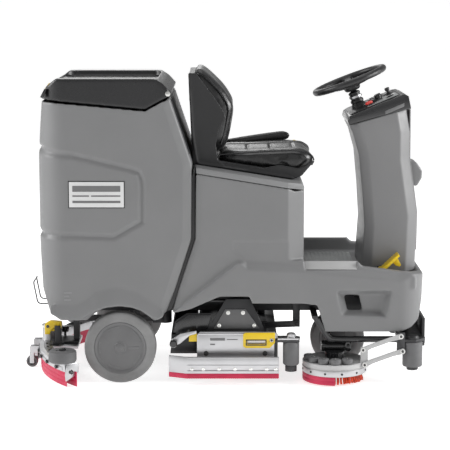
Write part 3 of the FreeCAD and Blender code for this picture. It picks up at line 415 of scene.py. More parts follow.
def leather_grain(name, slot, colour, rough):
    """Vinyl: small pebbles between fine creases."""
    material, tree, shader, coords = new_material(name, slot)
    base = ramp(tree, noise(tree, coords, 14, 5), tinted(colour, 0.8), tinted(colour, 1.35))
    tree.links.new(base, shader.inputs["Base Color"])
    cells = tree.nodes.new("ShaderNodeTexVoronoi")
    cells.feature = "DISTANCE_TO_EDGE"
    cells.inputs["Scale"].default_value = 420
    tree.links.new(coords.outputs["Object"], cells.inputs["Vector"])
    creases = ramp(tree, cells.outputs["Distance"], grey(0), grey(1), 0.0, 0.12)
    tree.links.new(
        ramp(tree, noise(tree, coords, 55, 5), grey(rough * 0.8), grey(rough * 1.3)),
        shader.inputs["Roughness"],
    )
    shader.inputs["Sheen Weight"].default_value = 0.05
    shader.inputs["Coat Weight"].default_value = 0.12
    shader.inputs["Coat Roughness"].default_value = 0.25
    bump(tree, shader, [(noise(tree, coords, 9, 2), 0.08, 0.001), (creases, 0.1, 0.0001)])
    return material


DARK = (0.172, 0.173, 0.175)
BLACK = (0.012, 0.012, 0.013)
# The edge values below give a painted highlight along convex edges.
M = {
    "tank": surface("tank_plastic", "tank_plastic", DARK, 0.45, grain=900, mottle=0.025, patch=5, edge=0.3),
    "body": surface("body_plastic", "tank_plastic", DARK, 0.45, grain=900, mottle=0.025, patch=5, edge=0.3),
    "lid": surface("lid_plastic", "lid_plastic", (0.01, 0.01, 0.011), 0.3, mottle=0.06, edge=0.1),
    "column": surface(
        "column_plastic", "column_plastic", (0.17, 0.17, 0.172), 0.42, grain=900, mottle=0.025, patch=5,
        edge=0.3,
    ),
    "black": surface("black_plastic", "black_plastic", BLACK, 0.4, grain=900, mottle=0.15, edge=0.1),
    "gloss_black": surface("gloss_black", "black_plastic", BLACK, 0.22, mottle=0.1, coat=0.3),
    "grey_panel": surface("grey_panel", "column_plastic", (0.3, 0.31, 0.31), 0.5, grain=900),
    "yellow": surface(
        "yellow_plastic", "yellow_plastic", (0.72, 0.5, 0.006), 0.34, grain=800, mottle=0.03, coat=0.15
    ),
    "red": surface("red_plastic", "red_plastic", (0.68, 0.04, 0.03), 0.3, mottle=0.05, coat=0.2),
    "vinyl": leather_grain("seat_vinyl", "vinyl", (0.006, 0.006, 0.0065), 0.3),
    "piping": surface("seat_piping", "vinyl", (0.012, 0.012, 0.013), 0.3, grain=1200),
    "tyre": surface("grey_tyre", "grey_rubber", (0.2, 0.2, 0.2), 0.72, grain=500, mottle=0.12, depth=0.0002),
    "guard": surface("guard_rubber", "guard_rubber", (0.115, 0.115, 0.118), 0.62, grain=500, mottle=0.12),
    "rim": surface("rim_plastic", "rim_plastic", (0.12, 0.12, 0.122), 0.45, grain=700, edge=0.2),
    "red_rubber": surface(
        "red_rubber", "red_rubber", (0.5, 0.012, 0.06), 0.5, grain=300, mottle=0.1, depth=0.0001
    ),
    "bristle": surface("bristle_nylon", "bristle", (0.62, 0.05, 0.012), 0.5, mottle=0.35, patch=60),
    "silver": surface(
        "satin_aluminium", "silver_metal", (0.5, 0.5, 0.51), 0.36, grain=400, metallic=1.0, mottle=0.05,
        depth=0.00006, stretch=(1, 1, 30),
    ),
    "white": surface(
        "pale_coat", "white_metal", (0.42, 0.42, 0.42), 0.38, grain=900, mottle=0.05, edge=0.15
    ),
    "steel": surface(
        "black_coat", "black_steel", (0.028, 0.028, 0.03), 0.42, grain=500, mottle=0.15, edge=0.2
    ),
    "wire": surface("spring_wire", "wire", (0.06, 0.06, 0.06), 0.4, metallic=0.6, mottle=0.1),
    "zinc": surface("zinc_bolt", "silver_metal", (0.62, 0.62, 0.6), 0.3, metallic=1.0, mottle=0.1),
    "tread": surface("step_tread", "tread", (0.36, 0.36, 0.36), 0.6, grain=500, mottle=0.05),
    "battery": surface("battery_case", "battery_case", (0.06, 0.06, 0.065), 0.5, grain=500),
    "white_label": surface("blank_label", "white_metal", (0.6, 0.6, 0.6), 0.45, mottle=0.03),
}

# ---------------------------------------------------------------------------
# Rotationally moulded shells
# ---------------------------------------------------------------------------

def corner_wedge(name, line, width_x, width_y, forward, half):
    """Cuts an upright corner off: line is (x, z) or (x, z, half) along the edge."""
    sections = []
    over = 5
    way = 1 if forward else -1
    for x, z, *own in line:
        y = -(own[0] if own else half)
        slope = width_y / width_x
        sections.append(
            [
                (x - way * (width_x + over), y - over * slope, z),
                (x + way * over, y - over * slope, z),
                (x + way * over, y + width_y + over * slope, z),
            ]
        )
    return both_sides(name, loft(name, sections))


def groove(name, path, width, depth, lift=4):
    """A V-shaped cutter along a closed path of (point, outward normal)."""
    sections = []
    count = len(path)
    for i, (here, out) in enumerate(path):
        before, after = Vector(path[i - 1][0]), Vector(path[(i + 1) % count][0])
        along = (after - before).normalized()
        out = Vector(out).normalized()
        across = along.cross(out).normalized()
        here = Vector(here)
        wide = width / 2 * (depth + lift) / depth
        sections.append(
            [here + out * lift + across * wide, here - out * depth, here + out * lift - across * wide]
        )
    return loft(name, sections, closed_along=True)


def fine(points, step=25):
    """The polyline with points added so that no run is longer than a step."""
    result = []
    for a, b in zip(points, points[1:]):
        count = max(1, int((Vector(b) - Vector(a)).length / step))
        result += [tuple(Vector(a).lerp(Vector(b), k / count)) for k in range(count)]
    return result + [tuple(points[-1])]


TANK_SIDE = 378
TANK_CORNER = 130


def round_the_tank(upper, lower):
    """A closed band: along the right wall, round the back, along the left and home again."""
    def side(points, sign):
        return [((x, sign * TANK_SIDE, z), (0, sign, 0)) for x, z in points]

    def rear_x(z):
        return -820 + max(0, z - 1000) * 0.09 + max(0, 640 - z) * 0.06

    def back(z_from, z_to, sign):
        centre_y = TANK_SIDE - TANK_CORNER
        result = []
        for k in range(1, 9):
            z = z_from + (z_to - z_from) * k / 8
            centre_x = rear_x(z) + TANK_CORNER
            turn = math.radians(90 * k / 8)
            out = (-math.sin(turn), sign * math.cos(turn), 0)
            result.append(
                ((centre_x + out[0] * TANK_CORNER, sign * centre_y + out[1] * TANK_CORNER, z), out)
            )
        return result

    def half(points, sign):
        straight = [p for p in fine(points) if p[0] > rear_x(p[1]) + TANK_CORNER]
        return side(straight, sign), (straight[-1][1], points[-1][1])

    upper_right, upper_z = half(upper, -1)
    upper_left, _ = half(upper, 1)
    lower_right, lower_z = half(lower, -1)
    lower_left, _ = half(lower, 1)
    return (
        upper_right
        + back(*upper_z, -1)
        + back(*upper_z, 1)[::-1]
        + upper_left[::-1]
        + lower_left
        + back(*lower_z, 1)
        + back(*lower_z, -1)[::-1]
        + lower_right[::-1]
    )


def build_tank():
    tank = copy_of("recovery_tank", "tank_moulding")
    upper = [(-358, 905), (-372, 944), (-409, 955), (-690, 1022), (-813, 1051)]
    lower = [(-358, 880), (-358, 725), (-482, 654), (-690, 661), (-806, 667)]
    band = groove("tank_groove", round_the_tank(upper, lower), 34, 11)
    front_line = [(-255, 312), (-215, 420), (-143, 644), (-139, 976), (-212, 1194), (-238, 1276)]
    chamfer = corner_wedge("tank_chamfer", front_line, 38, 14, True, TANK_SIDE)
    cut(tank, chamfer)
    lip_top = [(-772, 352), (-700, 350), (-644, 350), (-600, 376), (-568, 404), (-515, 419), (-457, 426),
               (-400, 408), (-355, 384), (-325, 363), (-277, 330), (-262, 318)]
    lip_low = [(-766, 316), (-722, 290), (-640, 284), (-600, 306), (-560, 330), (-515, 343), (-459, 349),
               (-405, 343), (-362, 327), (-325, 300), (-296, 286), (-268, 300)]
    sections = [
        [(xt, -372, zt), (xt, -379, zt), (xl, -400, zl + 6), (xl, -400, zl), (xl, -370, zl)]
        for (xt, zt), (xl, zl) in zip(lip_top, lip_low)
    ]
    lips = both_sides("fender_lips", loft("fender_lip", sections))
    def u_path(radius):
        arc = [math.radians(90 * k / 8) for k in range(9)]
        right = [(-690 - radius * math.sin(t), -248 - radius * math.cos(t)) for t in arc]
        return [(-345, -248 - radius)] + right + [(x, -y) for x, y in right[::-1]] + [(-345, 248 + radius)]

    liner = prism("tank_liner", u_path(121) + u_path(101)[::-1], 630, 1080, plane="XY")
    whole = joined("tank_shell", tank, lips)
    add(whole, "REMESH", mode="VOXEL", voxel_size=4.5 * MM)
    applied(whole)
    whole = joined("tank_shell", whole, liner)
    add(whole, "REMESH", mode="VOXEL", voxel_size=4.5 * MM)
    applied(whole)
    cut(whole, band)
    soften(whole, 4.5, 6)
    piece(whole, "chassis", "recovery_tank", material=M["tank"])

    badge = bevel(slab("tank_badge", (-677, -437), (789, 901), -380.5, -377), 1, 2)
    piece(badge, "chassis", material=M["white_label"])
    frame_out = [(-681, 785), (-433, 785), (-433, 905), (-681, 905)]
    badge_frame = bevel(prism("badge_frame", frame_out, -379.6, -376), 1, 2)
    piece(badge_frame, "chassis", material=M["black"])
    bars = [
        slab(f"badge_bar_{i}", (x0, x1), (z0, z1), -381.6, -380)
        for i, (x0, x1, z0, z1) in enumerate(
            ((-662, -452, 858, 884), (-662, -590, 836, 842), (-580, -452, 836, 842), (-662, -452, 808, 818))
        )
    ]
    piece(joined("badge_bars", *bars), "chassis", material=M["rim"])
    marks = [
        slab(f"mark_{i}", (x, x + w), (z, z + 9), -379.3, -377)
        for i, (x, z, w) in enumerate(((-706, 403, 35), (-706, 387, 24), (-706, 371, 31)))
    ]
    piece(joined("moulded_marks", *marks), "chassis", material=M["tank"])
    # A black strip filling the gap between the tank and the body: painted shade in the seam.
    seam = [
        (-258, 316), (-219, 420), (-147, 644), (-144, 926), (-126, 926), (-126, 644), (-196, 420),
        (-226, 330),
    ]
    piece(bevel(prism("seam_shade_strip", seam, -352, 352), 2), "chassis", material=M["black"])
    slope = [(-151, 1015), (-212, 1194), (-232, 1258), (-229, 1258), (-208, 1194), (-147, 1015)]
    piece(bevel(prism("tank_front_panel", slope, -300, 300), 1, 2), "chassis", material=M["black"])
    fill_ring = lathe("drain_boss", [(0, 0), (24, 0), (24, 5), (19, 8), (19, 4), (0, 4)], (-819, 0, 400),
                      Matrix(((0, 0, -1), (0, 1, 0), (1, 0, 0))))
    drain_cap = lathe("drain_cap", [(0, 4), (17, 4), (17, 12), (14, 15), (0, 15)], (-819, 0, 400),
                      Matrix(((0, 0, -1), (0, 1, 0), (1, 0, 0))))
    piece(smooth(joined("drain_fitting", fill_ring, drain_cap)), "chassis", material=M["black"])
    for name, y in (("hinge_bolt_right", -378), ("hinge_bolt_left", 378)):
        sign = -1 if y < 0 else 1
        bolt = lathe(name, [(0, 0), (11, 0), (11, 3), (7, 5), (0, 5)], (-242, y, 1286), facing_y(sign))
        piece(smooth(bolt), "chassis", material=M["zinc"])


def build_lid():
    lid = copy_of("tank_lid", "lid_moulding")
    soften(lid, 4.5, 9)
    piece(lid, "tank_lid", "tank_lid", material=M["lid"])
    latch = bevel(
        prism("lid_latch", [(-813, 1262), (-796, 1262), (-786, 1296), (-798, 1302), (-808, 1290)], -40, 40), 3
    )
    piece(latch, "tank_lid", material=M["gloss_black"])
    grip = bevel(
        prism(
            "lid_grip", [(-790, 1290), (-776, 1312), (-762, 1330), (-755, 1323), (-780, 1284)], -330, -290
        ),
        2,
    )
    piece(grip, "tank_lid", material=M["yellow"])
    hook = bevel(prism("lid_hook", [(-801, 1268), (-786, 1268), (-770, 1306), (-781, 1306)], -352, -330), 2)
    piece(hook, "tank_lid", material=M["gloss_black"])


def build_body():
    body = copy_of("body_shell", "body_moulding")
    crease = [(40, 566), (63, 547), (103, 511), (337, 502), (600, 478), (769, 462), (844, 471), (900, 476)]
    sections = [
        [(x, -367.5, z + 32), (x, -391, z), (x, -430, z), (x, -430, 640), (x, -367.5, 640)] for x, z in crease
    ]
    facet = both_sides("rim_slope", loft("rim_slope_right", sections))
    front_edge = corner_wedge("seat_box_edge", [(357, 1000), (357, 700), (357, 549)], 74, 46, True, 370)
    seam_line = [(-228, 330), (-199, 420), (-126, 644), (-122, 940)]
    seam_edge = corner_wedge("seam_edge", seam_line, 26, 9, False, 370)
    mouth = [(500, 415), (744, 418), (720, 300), (524, 309)]
    back_wall = [(530, 398), (716, 400), (700, 318), (546, 324)]
    pocket = prism("pocket_block", [(486, 428), (758, 431), (732, 287), (512, 296)], -380, -341)
    hollow = loft("pocket_hollow", [[(x, -384, z) for x, z in mouth], [(x, -353, z) for x, z in back_wall]])
    hole = prism("pocket_hole", [(534, 392), (600, 392), (614, 324), (550, 324)], -360, -330)
    cut(pocket, hollow, hole)
    posts = both_sides("corner_posts", box("corner_post", (268, 350), (-364, -322), (486, 857)))
    liners = both_sides("rim_liners", box("rim_liner", (100, 850), (-381, -350), (426, 480)))
    whole = joined("body_with_posts", body, posts, liners, pocket)
    add(whole, "REMESH", mode="VOXEL", voxel_size=4.5 * MM)
    applied(whole)
    cut(whole, facet, front_edge, seam_edge)
    add(whole, "REMESH", mode="VOXEL", voxel_size=4.5 * MM)
    add(whole, "SMOOTH", factor=0.5, iterations=7)
    smooth(applied(whole), 60)
    whole.name = "body_shell_moulding"
    piece(whole, "chassis", "body_shell", material=M["body"])

    slope = [(-366, 508.4), (-338, 541.5), (-341.1, 544.1), (-369.1, 511)]
    pad = prism("step_tread_pad", slope, 360, 588, plane="YZ")
    piece(bevel(pad, 1.2, 3), "chassis", "step_tread", material=M["tread"])
    mat = box("floor_mat", (372, 604), (-300, 300), (473, 476.5))
    mat_ribs = [box(f"mat_rib_{i}", (378 + i * 19, 386 + i * 19), (-292, 292), (476, 479)) for i in range(12)]
    piece(bevel(joined("foot_mat", mat, *mat_ribs), 1, 2), "chassis", material=M["grey_panel"])


def build_hood():
    hood = copy_of("seat_console", "hood_moulding")
    edge = corner_wedge("hood_edge", [(357, 1000), (357, 840)], 74, 46, True, 370)
    cut(hood, edge)
    add(hood, "BEVEL", width=4 * MM, segments=3, limit_method="ANGLE", angle_limit=math.radians(40))
    smooth(applied(hood), 40)
    piece(hood, "seat_console", "seat_console", material=M["body"])


def build_column():
    def half_at(z):
        return 230 - 52 * (z - 474) / 736

    rear = [(562, 1132), (580, 1096), (608, 997), (624, 838), (635, 679), (623, 474)]
    front = [(820, 1204), (838, 1180), (838, 974), (874, 725), (864, 474)]
    levels = [(1204, 1132)] + [(z, z) for z in (1096, 997, 974, 838, 725, 679, 560, 474)]

    def x_at(line, z):
        pairs = sorted((p[1], p[0]) for p in line)
        for (z0, x0), (z1, x1) in zip(pairs, pairs[1:]):
            if z0 <= z <= z1:
                return x0 + (x1 - x0) * (z - z0) / (z1 - z0)
        return pairs[-1][1] if z > pairs[-1][0] else pairs[0][1]

    sections = []
    for z_front, z_rear in levels[::-1]:
        x_rear, x_front = x_at(rear, z_rear), x_at(front, z_front)
        half = half_at(min(z_rear, z_front))
        corner_rear, corner_front = 40, 46
        points = [
            (x_rear, -half + corner_rear * 0.8, z_rear),
            (x_rear + corner_rear, -half, z_rear + (z_front - z_rear) * 0.15),
            (x_front - corner_front, -half, z_rear + (z_front - z_rear) * 0.85),
            (x_front, -half + corner_front * 0.9, z_front),
        ]
        sections.append(points + [(x, -y, z) for x, y, z in points[::-1]])
    shell = loft("column_moulding", sections)
    bevel(shell, 7, 4, 12)
    piece(shell, "chassis", "column_shell", material=M["column"])

    seam = [(843, 1196), (843, 976), (877.5, 730), (875, 560)]
    cover_sections = [
        [
            (x - 4, -w, z), (x + 1.5, -w, z), (x + 3, -w + 8, z), (x + 3, w - 8, z), (x + 1.5, w, z),
            (x - 4, w, z),
        ]
        for (x, z), w in zip(seam, (104, 116, 128, 134))
    ]
    panel = bevel(loft("column_front_panel", cover_sections), 1.5, 2, 20)
    piece(panel, "chassis", "column_cover", material=M["column"])
    block = [(850, 846), (884, 843), (905, 880), (907, 912), (880, 952), (846, 960)]
    grip = prism("column_block", block, -68, 68)
    bevel(grip, 8, 4)
    piece(grip, "chassis", material=M["column"])
    lamp = lathe("front_lamp", [(0, 0), (26, 0), (26, 4), (20, 7), (0, 8)], (899.5, 0, 897),
                 Matrix(((0, 0, 1), (0, 1, 0), (-1, 0, 0))), 32)
    piece(smooth(lamp), "chassis", material=M["gloss_black"])


build_tank()
build_lid()
build_body()
build_hood()
build_column()


# ---------------------------------------------------------------------------
# Seat
# ---------------------------------------------------------------------------

def cushion_form(name, outline, half, crown, side_pull, columns=24, corner=0.3):
    """A stuffed form: an XZ outline carried across Y, with a crowned middle and drawn-in sides.

    Sections shrink towards the ends so that the edges are rounded, and the sides pull in between
    the corners.
    """
    middle = sum((Vector(p) for p in outline), Vector((0, 0))) / len(outline)
    sections = []
    for k in range(columns + 1):
        t = -1 + 2 * k / columns
        across = math.sin(t * math.pi / 2)
        close = max(0.0, (abs(across) - (1 - corner)) / corner)
        shrink = 1 - 0.3 * close ** 3
        swell = 1 + crown * (1 - across * across)
        y = across * half
        section = []
        for x, z in outline:
            offset = (Vector((x, z)) - middle) * shrink * swell
            pull = side_pull * (1 - min(1, abs(offset.x) / 140)) * close
            section.append((middle.x + offset.x, y - math.copysign(pull, y), middle.y + offset.y))
        sections.append(section)
    return loft(name, sections)


def resampled(outline, count):
    """Evenly spaced points round a closed outline."""
    closed = [Vector(p) for p in outline] + [Vector(outline[0])]
    lengths = [(b - a).length for a, b in zip(closed, closed[1:])]
    total = sum(lengths)
    result = []
    for k in range(count):
        want = total * k / count
        for a, b, run in zip(closed, closed[1:], lengths):
            if want <= run:
                result.append(tuple(a.lerp(b, want / run)))
                break
            want -= run
    return result


def rounded_outline(outline, radius, steps=4):
    """The closed outline with each corner eased."""
    count = len(outline)
    result = []
    for i in range(count):
        before, here, after = (Vector(outline[(i + k) % count]) for k in (-1, 0, 1))
        start = here + (before - here).normalized() * min(radius, (before - here).length * 0.45)
        end = here + (after - here).normalized() * min(radius, (after - here).length * 0.45)
        for k in range(steps + 1):
            t = k / steps
            result.append(tuple(start * (1 - t) ** 2 + here * 2 * t * (1 - t) + end * t * t))
    return result


CLOTH_FRAMES = 16


def stuffed(obj, swell, pressure=4.0):
    """Blows a closed form up as cloth under pressure, then caps how far any point moves."""
    add(obj, "REMESH", mode="VOXEL", voxel_size=6 * MM)
    applied(obj)
    before = [v.co.copy() for v in obj.data.vertices]
    cloth = obj.modifiers.new("Cloth", "CLOTH")
    cloth.settings.use_pressure = True
    cloth.settings.uniform_pressure_force = pressure
    cloth.settings.tension_stiffness = 60
    cloth.settings.compression_stiffness = 30
    cloth.settings.bending_stiffness = 2.5
    cloth.settings.effector_weights.gravity = 0
    cloth.settings.quality = 5
    cloth.point_cache.frame_start = 1
    cloth.point_cache.frame_end = CLOTH_FRAMES
    for frame_number in range(1, CLOTH_FRAMES + 1):
        bpy.context.scene.frame_set(frame_number)
    applied(obj)
    bpy.context.scene.frame_set(1)
    for vertex, start in zip(obj.data.vertices, before):
        move = vertex.co - start
        limit = swell * MM
        if move.length > limit:
            vertex.co = start + move.normalized() * limit
    return obj


def sewn(obj, lines, width, depth):
    """Presses sewn channels into a cushion along paths."""
    spots = [Vector(p) * MM for line in lines for p in fine(line, 3)]
    tree = KDTree(len(spots))
    for i, spot in enumerate(spots):
        tree.insert(spot, i)
    tree.balance()
    moves = []
    for vertex in obj.data.vertices:
        _, _, distance = tree.find(vertex.co)
        near = distance / (width * MM)
        moves.append(vertex.normal * (-depth * MM * math.exp(-near * near)) if near < 3 else None)
    for vertex, move in zip(obj.data.vertices, moves):
        if move:
            vertex.co += move
    return obj


def build_seat():
    pan = rounded_outline(
        [(-34, 978), (345, 922), (392, 950), (408, 978), (398, 1004), (356, 1021), (290, 1020), (120, 1012),
         (-12, 1012)], 34
    )
    cushion = cushion_form("cushion_core", resampled(pan, 64), 232, 0.0, 10)
    middle_line = [
        (x, y, z)
        for x, y, z in [
            (20, -128, 1016), (90, -130, 1017), (200, -132, 1020), (300, -134, 1025), (372, -130, 1018),
            (402, -120, 1000), (412, -110, 975),
        ]
    ]
    cross_lines = [
        [(x, y, z + 2 + 3 * (1 - (y / 128) ** 2)) for y in range(-128, 129, 16)]
        for x, z in ((110, 1011), (215, 1014), (315, 1016))
    ]
    lines = [middle_line, [(x, -y, z) for x, y, z in middle_line]] + cross_lines
    add(cushion, "REMESH", mode="VOXEL", voxel_size=6 * MM)
    applied(cushion)
    for vertex in cushion.data.vertices:
        x, y, z = (value / MM for value in vertex.co)
        if z > 985:
            side = max(0.0, (abs(y) - 128) / 104)
            vertex.co.z += (4 * math.sin(math.pi * min(1, side)) - 6 * (1 - min(1, abs(y) / 128))) * MM
    stuffed(cushion, 5)
    soften(cushion, 3.5, 4)
    sewn(cushion, lines, 7, 7)
    piece(cushion, "seat", "seat_cushion", material=M["vinyl"])

    back_line = rounded_outline(
        [(-88, 996), (-16, 1022), (6, 1044), (22, 1110), (36, 1190), (36, 1228), (-6, 1296), (-78, 1368),
         (-112, 1394), (-128, 1386), (-124, 1330), (-117, 1290), (-103, 1094)], 26
    )
    back = cushion_form("back_core", resampled(back_line, 72), 232, 0.0, 12)
    add(back, "REMESH", mode="VOXEL", voxel_size=6 * MM)
    applied(back)
    for vertex in back.data.vertices:
        x, y, z = (value / MM for value in vertex.co)
        front = -96 + (z - 996) * 0.01
        if x > front:
            share = min(1.0, (x - front) / 100)
            wing = max(0.0, (abs(y) - 118) / 114)
            dip = 20 * (1 - min(1, abs(y) / 118) ** 2) + 6
            vertex.co.x += share * (9 * math.sin(math.pi * min(1, wing)) - dip) * MM
            vertex.co.x -= share * 55 * max(0.0, (abs(y) - 180) / 52) ** 2 * MM * max(0, (z - 1060) / 300)
    front_curve = [
        (-2, 1040), (8, 1090), (20, 1140), (28, 1180), (26, 1215), (2, 1262), (-40, 1312), (-84, 1352),
        (-112, 1378),
    ]
    side_seam = [(x - 1, -122, z) for x, z in front_curve]
    cross = [
        [(x - 22 + 20 * (y / 122) ** 2, y, z) for y in range(-122, 123, 15)]
        for x, z in ((14, 1095), (30, 1165), (22, 1235), (-26, 1300))
    ]
    lines = [side_seam, [(x, -y, z) for x, y, z in side_seam]] + cross
    stuffed(back, 5)
    soften(back, 3.5, 4)
    sewn(back, lines, 7, 8)
    piece(back, "seat", "seat_back", material=M["vinyl"])

    shell = copy_of("seat_shell", "seat_shell_moulding")
    rim = []
    for sign in (-1, 1):
        rim.append(
            tube(
                f"shell_rim_{sign}",
                [
                    (-152, sign * 238, 1366), (-150, sign * 240, 1293), (-138, sign * 241, 1094),
                    (-118, sign * 241, 966), (60, sign * 241, 940), (309, sign * 240, 900),
                ],
                5,
                20,
                10,
            ),
        )
    wing = [
        (-157, 1364), (-122, 1368), (-43, 1262), (2, 1196), (10, 1169), (-21, 1116), (-34, 1049),
        (-25, 982), (10, 946), (73, 940), (171, 946), (251, 960), (331, 946), (358, 955), (398, 985),
        (398, 969), (349, 911), (309, 897), (-120, 962), (-136, 960), (-145, 1094), (-153, 1293),
    ]
    wings = [prism(f"shell_wing_{sign}", wing, *sorted((226 * sign, 240 * sign))) for sign in (-1, 1)]
    whole = joined("seat_shell_body", shell, *rim, *wings)
    soften(whole, 4, 4)
    piece(whole, "seat", "seat_shell", material=M["black"])

    piping_paths = [
        (
            [
                (-120, 1372), (-84, 1360), (-43, 1312), (-6, 1272), (18, 1228), (22, 1196), (12, 1140),
                (0, 1090), (-12, 1050),
            ],
            214,
        ),
        (
            [
                (-20, 1004), (80, 1012), (200, 1020), (300, 1024), (366, 1018), (396, 1000), (404, 978),
                (392, 958),
            ],
            226,
        ),
    ]
    piping = []
    for i, (path, y) in enumerate(piping_paths):
        for sign in (-1, 1):
            piping.append(tube(f"piping_{i}_{sign}", [(x, sign * y, z) for x, z in path], 3.4, 14, 8))
    piece(smooth(joined("seat_piping", *piping), 60), "seat", material=M["piping"])

    slides = both_sides(
        "seat_runners",
        joined("runner", box("runner_rail", (-70, 300), (-176, -150), (0, 9)),
               box("runner_cap", (-60, 290), (-170, -156), (9, 14))),
    )
    tilt = Matrix.Rotation(math.radians(9.287), 4, "Y")
    slides.data.transform(tilt)
    slides.data.transform(Matrix.Translation((0, 0, 0.9365)))
    piece(bevel(slides, 1, 2), "seat", material=M["steel"])

    arm_line = rounded_outline(
        [(-30, 992), (-12, 1022), (140, 1046), (276, 1066), (305, 1060), (318, 1042), (300, 1024), (60, 990),
         (16, 976)], 16
    )
    pad = cushion_form("arm_core", resampled(arm_line, 48), 21, 0.0, 0, 14, 0.6)
    pad.data.transform(Matrix.Translation((0, 0.263, 0)))
    stuffed(pad, 2)
    soften(pad, 4, 4)
    piece(pad, "armrest", "armrest", material=M["vinyl"])
    cap = lathe("armrest_cap", [(0, 0), (13, 0), (13, 4), (8, 7), (0, 7)], (-8, 283, 998), "Y", 28)
    piece(smooth(cap), "armrest", material=M["gloss_black"])


# ---------------------------------------------------------------------------
# Wheels
# ---------------------------------------------------------------------------

REAR_AXLE_X = -459
REAR_WHEEL_R = 160


def tyre_profile(radius, rim, half):
    shoulder = 12
    arc = [
        (radius - shoulder + shoulder * math.sin(t), half - shoulder + shoulder * math.cos(t))
        for t in (math.radians(90 * k / 5) for k in range(6))
    ]
    upper = [(rim - 1, half - 3), (rim + 4, half), (rim + 14, half + 0.5)] + arc
    groove_in = [(radius, 5), (radius - 2.5, 3), (radius - 2.5, -3), (radius, -5)]
    lower = [(r, -h) for r, h in upper[::-1]]
    return upper + groove_in + lower


def disc_profile(rim, half, bore):
    outer = [(bore, half - 2), (24, half - 2), (28, half - 5), (rim - 14, half - 6), (rim - 9, half - 2),
             (rim - 3, half - 1), (rim - 1, half - 3)]
    return outer + [(r, -h) for r, h in outer[::-1]]


def build_wheel(body, tyre_node, rim_node, centre, radius, rim, width, bore, outer):
    """A cushion tyre on a flat disc with raised arcs near the rim and one raised bar."""
    half = width / 2
    tyre = lathe(body + "_tyre", tyre_profile(radius - 0.4, rim, half - 0.5), centre, "Y", 96, closed=True)
    piece(smooth(tyre, 30), body, tyre_node, material=M["tyre"])
    disc = lathe(body + "_disc", disc_profile(rim, half, bore), centre, "Y", 72, closed=True)
    face = facing_y(outer)
    side = Matrix.Translation(Vector((centre[0], centre[1] + outer * (half - 6.5), centre[2])) * MM)
    marks = []
    for k in range(5):
        arc = [math.radians(72 * k + 20 + 4 * j) for j in range(9)]
        outline = [((rim - 20) * math.cos(t), (rim - 20) * math.sin(t)) for t in arc]
        outline += [((rim - 26) * math.cos(t), (rim - 26) * math.sin(t)) for t in arc[::-1]]
        marks.append(prism(f"{body}_arc_{k}", outline, 0, 2.2, plane="XY"))
    marks.append(bevel(box(body + "_bar", (32, rim - 32), (-6, 6), (0, 2.6)), 1.5, 3))
    for mark in marks:
        mark.data.transform(face.to_4x4())
        mark.data.transform(side)
    piece(smooth(joined(body + "_wheel_disc", disc, *marks), 35), body, rim_node, material=M["rim"])
    cap = lathe(
        body + "_cap", [(0, 0), (bore + 4, 0), (bore + 4, 2), (bore, 4), (0, 4.6)],
        (centre[0], centre[1] + outer * (half - 2), centre[2]), face, 36,
    )
    piece(smooth(cap), body, material=M["rim"])


def build_wheels():
    for side, sign in (("right", -1), ("left", 1)):
        build_wheel(
            f"rear_wheel_{side}",
            f"rear_tyre_{side}",
            f"rear_rim_{side}",
            (REAR_AXLE_X, sign * 352, REAR_WHEEL_R),
            REAR_WHEEL_R,
            116,
            72,
            15.2,
            sign,
        )
    build_wheel("drive_wheel", "drive_tyre", "drive_rim", (530, 0, 125), 125, 88, 90, 12.2, -1)


# ---------------------------------------------------------------------------
# Steering wheel, dash and pedal
# ---------------------------------------------------------------------------

STEER = Matrix.Rotation(math.radians(-20.9), 3, "Y")
DASH_TILT = math.atan2(99, 240)
DASH = Matrix.Rotation(-DASH_TILT, 3, "Y")


def tilted(obj, turn, at):
    """Puts a piece built round its own origin in place."""
    obj.data.transform(turn.to_4x4())
    obj.data.transform(Matrix.Translation(Vector(at) * MM))
    return obj


def on_dash(obj, along, across, above=3):
    spot = Vector((561, 0, 1172)) + DASH @ Vector((along, across, above))
    return tilted(obj, DASH, spot)


